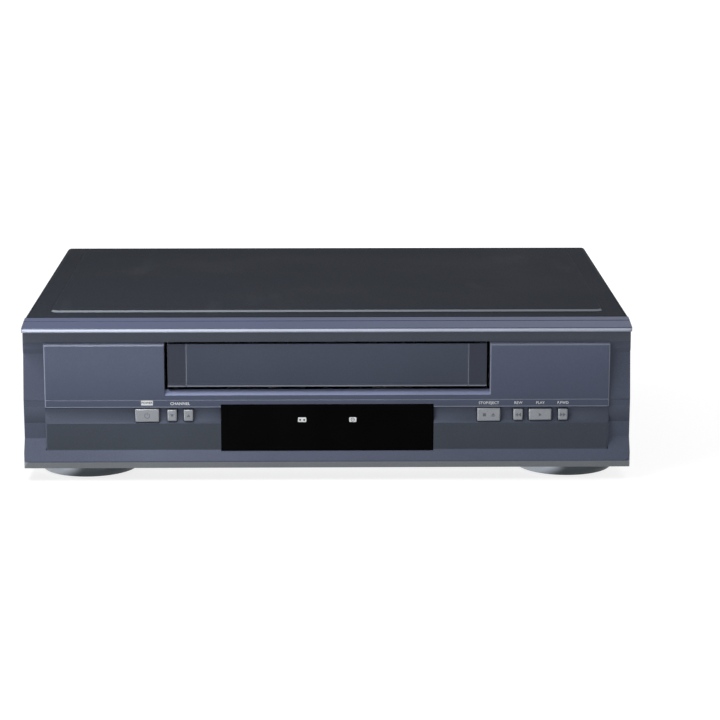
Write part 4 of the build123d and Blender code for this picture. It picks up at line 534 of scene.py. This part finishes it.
SOFT_EDGES = {
    "front_panel": 0.18, "cassette_door": 0.2, "top_cover": 0.15, "display_window": 0.15,
    "power_button": 0.35, "channel_up_button": 0.35, "channel_down_button": 0.35, "stop_button": 0.35,
    "rewind_button": 0.35, "play_button": 0.35, "forward_button": 0.35,
    "feet": 0.4, "foot_pads": 0.4, "mains_inlet": 0.3,
}
for node, width in SOFT_EDGES.items():
    soften(node, width)


# ---------------------------------------------------------------- surfaces worked out with numpy
def skin(rings, closed=False):
    """Points and faces of a closed surface. rings is an (n, m, 3) array, ring after ring of m points, each
    ring joined to the next by four-sided faces. A path that isn't closed gets one flat face at each end.
    Every face is cut into triangles, and the sum of the volumes between them and the surface's middle
    tells by its sign whether the faces point outwards: if they don't, all are turned round."""
    rings = np.asarray(rings, float)
    n, m = rings.shape[:2]
    i, j = np.meshgrid(np.arange(n if closed else n - 1), np.arange(m), indexing="ij")
    after_i, after_j = (i + 1) % n, (j + 1) % m
    sides = np.stack([i * m + j, i * m + after_j, after_i * m + after_j, after_i * m + j], -1).reshape(-1, 4)
    ends = [] if closed else [np.arange(m)[::-1], (n - 1) * m + np.arange(m)]
    fans = [sides[:, [0, 1, 2]], sides[:, [0, 2, 3]]]
    fans += [np.stack([np.full(m - 2, end[0]), end[1:-1], end[2:]], -1) for end in ends]
    points = rings.reshape(-1, 3)
    first, second, third = (points[np.concatenate(fans)] - points.mean(0)).transpose(1, 0, 2)
    turn = -1 if (first * np.cross(second, third)).sum() < 0 else 1
    return points, sides[:, ::turn].tolist() + [end[::turn].tolist() for end in ends]


def join_scene(name, mesh, material, body):
    """Puts a finished mesh into the scene, riding on body, with the finish of its material slot."""
    mesh.materials.clear()
    mesh.materials.append(material)
    thing = bpy.data.objects.new(name, mesh)
    bpy.context.scene.collection.objects.link(thing)
    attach(thing, body)


def piece(name, skins, material, body="recorder", smooth=False):
    """One object made of several closed surfaces."""
    starts = np.cumsum([0] + [len(points) for points, _ in skins]).tolist()
    faces = [[start + corner for corner in face] for start, (_, own) in zip(starts, skins) for face in own]
    mesh = bpy.data.meshes.new(name)
    mesh.from_pydata((np.concatenate([points for points, _ in skins]) * MM).tolist(), [], faces)
    mesh.polygons.foreach_set("use_smooth", [smooth] * len(mesh.polygons))
    mesh.validate()
    join_scene(name, mesh, material, body)


def stand(flat, height, origin, side):
    """Puts flat (u, v) points and their heights on a face that looks to the FRONT or the REAR: u runs
    right and v up as that face is looked at."""
    flat = np.asarray(flat, float)
    height = np.broadcast_to(height, flat.shape[:-1])
    x = origin[0] - side * flat[..., 0]
    y = origin[1] + side * height
    z = origin[2] + flat[..., 1]
    return np.stack([x, y, z], -1)


def print_shape(outline, origin, thick=INK):
    """A printed shape on a face to the front: one outline carried straight out of the face by the ink's
    height, and sunk into it by half as much."""
    return skin([stand(outline, height, origin, FRONT) for height in (-0.5 * thick, thick)])


def print_line(path, width, origin, side=FRONT, closed=False, thick=INK):
    """A printed line: a flat four-cornered section carried along a path. Each corner of the path is
    mitred, so the section stands along the sum of the two sides' normals, lengthened to keep the line's
    width."""
    path = np.asarray(path, float)
    ahead = np.roll(path, -1, 0) - path
    behind = path - np.roll(path, 1, 0)
    if not closed:
        ahead[-1], behind[0] = behind[-1], ahead[0]
    normal = [np.stack([-way[:, 1], way[:, 0]], -1) / np.linalg.norm(way, axis=1)[:, None]
              for way in (ahead, behind)]
    mitre = normal[0] + normal[1]
    mitre /= (mitre * normal[0]).sum(1)[:, None]
    left, right = path + 0.5 * width * mitre, path - 0.5 * width * mitre
    corners = [stand(left, -0.5 * thick, origin, side), stand(left, thick, origin, side),
               stand(right, thick, origin, side), stand(right, -0.5 * thick, origin, side)]
    return skin(np.stack(corners, 1), closed)


def turned(profile, centre, steps=48):
    """A turned solid: a closed (radius, height) profile carried round an axis along Y."""
    angle = np.linspace(0, 2 * np.pi, steps, endpoint=False)[:, None]
    radius, height = np.asarray(profile, float).T
    along = np.broadcast_to(height, (steps, len(height)))
    return skin(np.stack([radius * np.cos(angle), along, radius * np.sin(angle)], -1) + centre, closed=True)


def rounded_box(width, height, radius, steps=6):
    """The outline of a box with round corners, about its middle: a quarter circle, mirrored to each of the
    corners."""
    turn = np.linspace(0, np.pi / 2, steps)
    corner = radius * np.stack([np.cos(turn), np.sin(turn)], -1)
    middle = np.array([width / 2 - radius, height / 2 - radius])
    quarters = [(1, 1, False), (-1, 1, True), (-1, -1, False), (1, -1, True)]
    return np.concatenate([((corner[::-1] if back else corner) + middle) * (right, up)
                           for right, up, back in quarters])


def wedge(size, direction):
    """A three-cornered arrowhead, pointing along direction, as tall as size and three quarters as long."""
    along = np.array(direction, float)
    across = np.array([-along[1], along[0]])
    tail = -0.375 * size * along
    return np.array([0.375 * size * along, tail + 0.5 * size * across, tail - 0.5 * size * across])


def words(name, text, size, origin, material, side=FRONT):
    """Printed words: the letters' curves are filled, given the ink's height, made a mesh and stood on the
    face, centred on origin. size is the height of a capital letter in millimetres."""
    curve = bpy.data.curves.new(name, "FONT")
    curve.body = text
    curve.size = size * MM / CAPITAL
    curve.align_x = "CENTER"
    curve.align_y = "CENTER"
    curve.extrude = 0.5 * INK * MM
    curve.space_character = 1.05
    curve.offset = 0.03 * MM
    curve.resolution_u = 3
    source = bpy.data.objects.new(name + "_curve", curve)
    bpy.context.scene.collection.objects.link(source)
    bpy.context.view_layer.update()
    mesh = bpy.data.meshes.new_from_object(source.evaluated_get(bpy.context.evaluated_depsgraph_get()))
    bpy.data.objects.remove(source)
    mesh.name = name
    spots = np.empty(len(mesh.vertices) * 3)
    mesh.vertices.foreach_get("co", spots)
    spots = spots.reshape(-1, 3) / MM
    placed = stand(spots[:, :2], spots[:, 2] + 0.5 * INK, origin, side) * MM
    mesh.vertices.foreach_set("co", placed.ravel())
    join_scene(name, mesh, material, "recorder")


# ---------------------------------------------------------------- marks on the front
def mark_shapes(kind, size):
    """The outlines of a transport mark, about its middle."""
    box = 0.42 * size
    square = np.array([[-box, -box], [box, -box], [box, box], [-box, box]])
    bar = np.array([[-0.5, -0.45], [0.5, -0.45], [0.5, -0.25], [-0.5, -0.25]]) * size
    forward, back = wedge(size, (1, 0)), wedge(size, (-1, 0))
    step = (0.4 * size, 0)
    return {
        "stop": [square],
        "eject": [wedge(size, (0, 1)) * (1.0, 0.8) + (0, 0.18 * size), bar],
        "play": [forward],
        "forward": [forward - step, forward + step],
        "rewind": [back - step, back + step],
        "up": [wedge(size, (0, 1))],
        "down": [wedge(size, (0, -1))],
    }[kind]


power_x = BUTTON_X["power_key"]
channel_x = (BUTTON_X["channel_up_key"] + BUTTON_X["channel_down_key"]) / 2
for name, text, size, x in (
        ("stop_word", "STOP/EJECT", 1.55, BUTTON_X["stop_key"]),
        ("rewind_word", "REW", 1.55, BUTTON_X["rewind_key"]),
        ("play_word", "PLAY", 1.55, BUTTON_X["play_key"]),
        ("forward_word", "F.FWD", 1.55, BUTTON_X["forward_key"]),
        ("channel_word", "CHANNEL", 1.7, channel_x)):
    words(name, text, size, (x, FACE_Y, LABEL_Z), WHITE_INK)

# The power button's word is black on a white plate, half a millimetre higher than the other words.
plate_z = LABEL_Z + 0.5
plate = print_shape(rounded_box(7.0, 2.9, 0.35), (power_x, FACE_Y, plate_z))
piece("power_label", [plate], WHITE_INK)
words("power_word", "POWER", 1.3, (power_x, FACE_Y - INK, plate_z), BLACK_INK)

MARK = 2.2                   # height of the marks on the caps
CAP_MARKS = {
    "stop_key": (("stop", -2.6), ("eject", 2.6)), "rewind_key": (("rewind", 0),), "play_key": (("play", 0),),
    "forward_key": (("forward", 0),), "channel_up_key": (("up", 0),), "channel_down_key": (("down", 0),),
}
for body, marks in CAP_MARKS.items():
    middle = (BUTTON_X[body], CAP_Y, GROOVE_Z)
    skins = [print_shape(shape + (shift, 0), middle, CAP_INK)
             for kind, shift in marks for shape in mark_shapes(kind, MARK)]
    piece(body.replace("_key", "_cap_mark"), skins, GREY_INK, body)

# The power sign: a ring that is open at its top, with a stroke through the gap.
turn = np.radians(np.linspace(120, 420, 25))
power_middle = (power_x, CAP_Y, GROOVE_Z)
power_ring = 1.5 * np.stack([np.cos(turn), np.sin(turn)], -1)
power_mark = [print_line(power_ring, 0.35, power_middle, thick=CAP_INK),
              print_line([(0, 0.2), (0, 2.0)], 0.35, power_middle, thick=CAP_INK)]
piece("power_cap_mark", power_mark, GREY_INK, "power_key")

# The display's two fixed signs: a white plate with a cassette's two hubs in black, and one with a clock.
circle = np.radians(np.linspace(0, 360, 16, endpoint=False))
disc = np.stack([np.cos(circle), np.sin(circle)], -1)
plates = [print_shape(rounded_box(4.9, 2.9, 0.5), (-SIGN_X, WINDOW_Y, SIGN_Z)),
          print_shape(rounded_box(4.3, 2.9, 0.5), (SIGN_X, WINDOW_Y, SIGN_Z))]
piece("window_plates", plates, WHITE_INK)
on_cassette = (-SIGN_X, WINDOW_Y - INK, SIGN_Z)
on_clock = (SIGN_X, WINDOW_Y - INK, SIGN_Z)
signs = [print_shape(0.55 * disc + (shift, -0.1), on_cassette) for shift in (-1.2, 1.2)]
signs += [print_line(disc, 0.3, on_clock, closed=True),
          print_line([(0, 0.6), (0, 0), (0.45, 0)], 0.24, on_clock)]
piece("window_signs", signs, BLACK_INK)


# ---------------------------------------------------------------- the rear
def jack_collar(x, z):
    """The moulded colour ring round a jack's foot, its section a low half-round."""
    bow = np.linspace(0, np.pi, 8)
    outer = np.stack([4.75 + 0.75 * np.cos(bow), 1.35 * np.sin(bow)], -1)
    return turned(np.concatenate([outer, [(4.0, -0.2), (5.5, -0.2)]]), (x, REAR_Y, z))


def jack_insulator(x, z):
    """The coloured insulator in a jack's mouth, dished toward its bore."""
    profile = [(1.75, -0.6), (1.75, -0.1), (2.1, 0.12), (3.3, 0.12), (3.45, 0.0), (3.45, -0.6)]
    return turned(profile, (x, JACK_END_Y, z))


for colour, z in zip(("red", "white", "yellow"), JACK_Z):
    rings = [make(x, z) for x in JACK_X for make in (jack_collar, jack_insulator)]
    piece(colour + "_jack_rings", rings, RING_FINISH[colour], smooth=True)


def thread(x, z, turns=6, steps=36):
    """The thread on an aerial connector: its radius swings by a third of a millimetre between root and
    crest as the height less the turn's share of one pitch goes round, and dies away at both ends. The
    tube's inner wall closes it."""
    pitch, wall, root, depth, foot_y = 0.9, 4.5, 4.72, 0.33, 129.3
    angle = np.linspace(0, 2 * np.pi, steps, endpoint=False)[:, None]
    height = np.linspace(0, turns * pitch, turns * 6 + 1)
    wave = np.abs(((height / pitch - angle / (2 * np.pi)) % 1.0) * 2 - 1)
    fade = np.clip(np.minimum(height, height[-1] - height) / (0.5 * pitch), 0, 1)
    inner = np.full((steps, 1), wall)
    radius = np.concatenate([inner, root + depth * wave * fade, inner], 1)
    along = np.broadcast_to(np.concatenate([height[:1], height, height[-1:]]), radius.shape)
    spot = np.stack([radius * np.cos(angle), along, radius * np.sin(angle)], -1)
    return skin(spot + (x, foot_y, z), closed=True)


piece("aerial_threads", [thread(AERIAL_X, z) for z in AERIAL_Z], MATERIALS["nickel"], smooth=True)


def cross_outline(reach, arm):
    """Twenty-four points round a cross whose arms reach out to reach and are arm wide: six points over one
    arm and into the corner beyond it, turned to each quarter."""
    half = arm / 2
    neck = half + 0.3 * (reach - half)
    quarter = np.array([(reach, -half), (reach, 0), (reach, half), (neck, half), (half, half), (half, neck)])
    spins = [np.array([[np.cos(a), -np.sin(a)], [np.sin(a), np.cos(a)]])
             for a in np.radians([0, 90, 180, 270])]
    return np.concatenate([quarter @ spin.T for spin in spins])


def screw_head(x, z):
    """A pan-head screw: a low dome whose rings run from the rim in to a cross recess that tapers as it
    goes down. The dome's radius falls and its height grows as the cosine and sine of its bow."""
    radius, rim, rise, sunk = 3.0, 0.5, 1.9, 1.2
    recess = cross_outline(1.5, 0.75)
    around = np.arctan2(recess[:, 1], recess[:, 0])
    circle = np.stack([np.cos(around), np.sin(around)], -1)
    rings = [(radius * circle, -0.2)]
    for bow in np.radians([0, 25, 50, 68]):
        rings.append((radius * (0.62 + 0.38 * np.cos(bow)) * circle, rim + (rise - rim) * np.sin(bow)))
    rings += [(recess, rise), (0.55 * recess, rise - sunk)]
    return skin([stand(flat, height, (x, REAR_Y, z), REAR) for flat, height in rings])


REAR_SCREWS = ((-171.0, 86.0), (171.0, 86.0), (-60.0, 88.5), (60.0, 88.5), (-105.0, 14.5), (84.0, 14.5))
piece("rear_screws", [screw_head(x, z) for x, z in REAR_SCREWS], MATERIALS["screw"])

# Printed outlines and words round the sockets.
jacks_middle = (sum(JACK_X) / 2, REAR_Y, sum(JACK_Z) / 3)
aerials_middle = (AERIAL_X + 1.5, REAR_Y, jacks_middle[2])
mains_middle = (MAINS_X, REAR_Y, MAINS_Z + 2.6)
rear_lines = [
    print_line(rounded_box(30.0, 52.0, 2.0) + (0, 2.5), 0.5, jacks_middle, REAR, closed=True),
    print_line([(-15, 21.5), (15, 21.5)], 0.4, jacks_middle, REAR),
    print_line([(0, 21.5), (0, 28.0)], 0.4, jacks_middle, REAR),
    print_line(rounded_box(20.0, 52.0, 2.0) + (0, 2.5), 0.5, aerials_middle, REAR, closed=True),
    print_line(rounded_box(34.0, 27.0, 2.0), 0.5, mains_middle, REAR, closed=True),
]
piece("rear_outlines", rear_lines, BLACK_INK)
for name, text, size, x, z in (
        ("out_word", "OUT", 2.0, JACK_X[0], 63.0),
        ("in_word", "IN", 2.0, JACK_X[1], 63.0),
        ("video_word", "VIDEO", 1.8, 102.8, JACK_Z[2]),
        ("left_word", "L", 1.8, 105.5, JACK_Z[1]),
        ("right_word", "R", 1.8, 105.5, JACK_Z[0]),
        ("aerial_in_word", "ANT IN", 1.8, AERIAL_X + 1.5, AERIAL_Z[1] + 9.5),
        ("aerial_out_word", "RF OUT", 1.8, AERIAL_X + 1.5, AERIAL_Z[0] + 9.5),
        ("mains_word", "AC IN", 1.8, MAINS_X, MAINS_Z + 13.0)):
    words(name, text, size, (x, REAR_Y, z), BLACK_INK, REAR)


# ---------------------------------------------------------------- floor, light and camera
def soft_lamp(name, place, target, width, height, watts):
    """A soft box: an area lamp at place, turned to face target. Lengths in metres."""
    lamp = bpy.data.lights.new(name, "AREA")
    lamp.shape = "RECTANGLE"
    lamp.size = width
    lamp.size_y = height
    lamp.energy = watts
    thing = bpy.data.objects.new(name, lamp)
    bpy.context.scene.collection.objects.link(thing)
    thing.location = place
    towards = np.asarray(target, float) - np.asarray(place, float)
    tilt = math.acos(-towards[2] / np.linalg.norm(towards))
    thing.rotation_euler = (tilt, 0, math.atan2(-towards[0], towards[1]))


def seen_directly(tree):
    """1 for what the camera, a mirror or glass sees, and 0 for the light that falls on things."""
    path = add(tree, "LightPath").outputs
    shown = add(tree, "Math", {0: path["Is Camera Ray"], 1: path["Is Glossy Ray"]}, operation="MAXIMUM")
    return add(tree, "Math", {0: shown, 1: path["Is Transmission Ray"]}, operation="MAXIMUM")


def pale_studio(level):
    """A plain white surround: white where it is seen, and of level as light."""
    world = bpy.data.worlds.new("pale_studio")
    bpy.context.scene.world = world
    world.use_nodes = True
    tree = world.node_tree
    tree.nodes.clear()
    strength = add(tree, "MapRange", {0: seen_directly(tree), 3: level, 4: 1.0})
    glow = add(tree, "Background", {"Color": srgb("ffffff"), "Strength": strength})
    add(tree, "OutputWorld", {"Surface": glow})


def studio_floor(reach):
    """A wide floor of white matt paper, reach metres to each side. What the camera sees of it is lifted
    towards white, more and more from a quarter of a metre to 0.9 m away, and near the recorder it keeps
    its shadow."""
    material = bpy.data.materials.new("white_paper_sweep")
    material.use_nodes = True
    tree = material.node_tree
    tree.nodes.clear()
    where = add(tree, "TexCoord").outputs["Object"]
    fibre = add(tree, "TexNoise", {"Vector": where, "Scale": per_mm(6), "Detail": 2.0})
    colour = add(tree, "Mix", {0: fibre, 6: srgb("969696"), 7: srgb("9a9a9a")}, data_type="RGBA")
    away = add(tree, "VectorMath", {0: where}, operation="LENGTH").outputs["Value"]
    ramp = {0: away, 1: 0.25, 2: 0.9, 3: 0.8, 4: 1.0}
    lift = add(tree, "MapRange", ramp, interpolation_type="SMOOTHSTEP")
    shown = add(tree, "Math", {0: lift, 1: seen_directly(tree)}, operation="MULTIPLY")
    paper = add(tree, "BsdfDiffuse", {"Color": colour})
    white = add(tree, "Emission", {"Color": srgb("ffffff"), "Strength": shown})
    add(tree, "OutputMaterial", {"Surface": add(tree, "AddShader", {0: paper, 1: white})})
    mesh = bpy.data.meshes.new("studio_floor")
    corners = [(-reach, -reach, 0), (reach, -reach, 0), (reach, reach, 0), (-reach, reach, 0)]
    mesh.from_pydata(corners, [], [(0, 1, 2, 3)])
    mesh.materials.append(material)
    floor = bpy.data.objects.new("studio_floor", mesh)
    bpy.context.scene.collection.objects.link(floor)


pale_studio(0.4)
studio_floor(6.0)
# A narrow strip over the front, which draws the bright line along the lip, and a box for each open side.
soft_lamp("top_strip", (-0.2, -0.275, 0.4), (-0.02, -0.13, 0.06), 0.34, 0.04, 1.6)
soft_lamp("left_box", (-1.25, -0.85, 0.13), (0, -0.1, 0.02), 1.2, 0.22, 8)
soft_lamp("back_box", (0.6, 1.3, 1.7), (0, 0, 0.05), 1.0, 0.8, 9)
soft_lamp("right_box", (1.8, 0.45, 0.5), (0, 0, 0.05), 1.2, 0.8, 14)

# A long lens, a metre and a half in front of the recorder's middle, which looks down on it by 12.5 degrees.
lens = bpy.data.cameras.new("view")
lens.sensor_width = 36.0
lens.lens = 116.56
camera = bpy.data.objects.new("view", lens)
bpy.context.scene.collection.objects.link(camera)
camera.location = (-1.3 * MM, -1472.6 * MM, 370.1 * MM)
camera.rotation_euler = (math.radians(90 - 12.475), math.radians(-0.038), math.radians(-0.87))
bpy.context.scene.camera = camera
bpy.context.scene.view_settings.view_transform = "Standard"
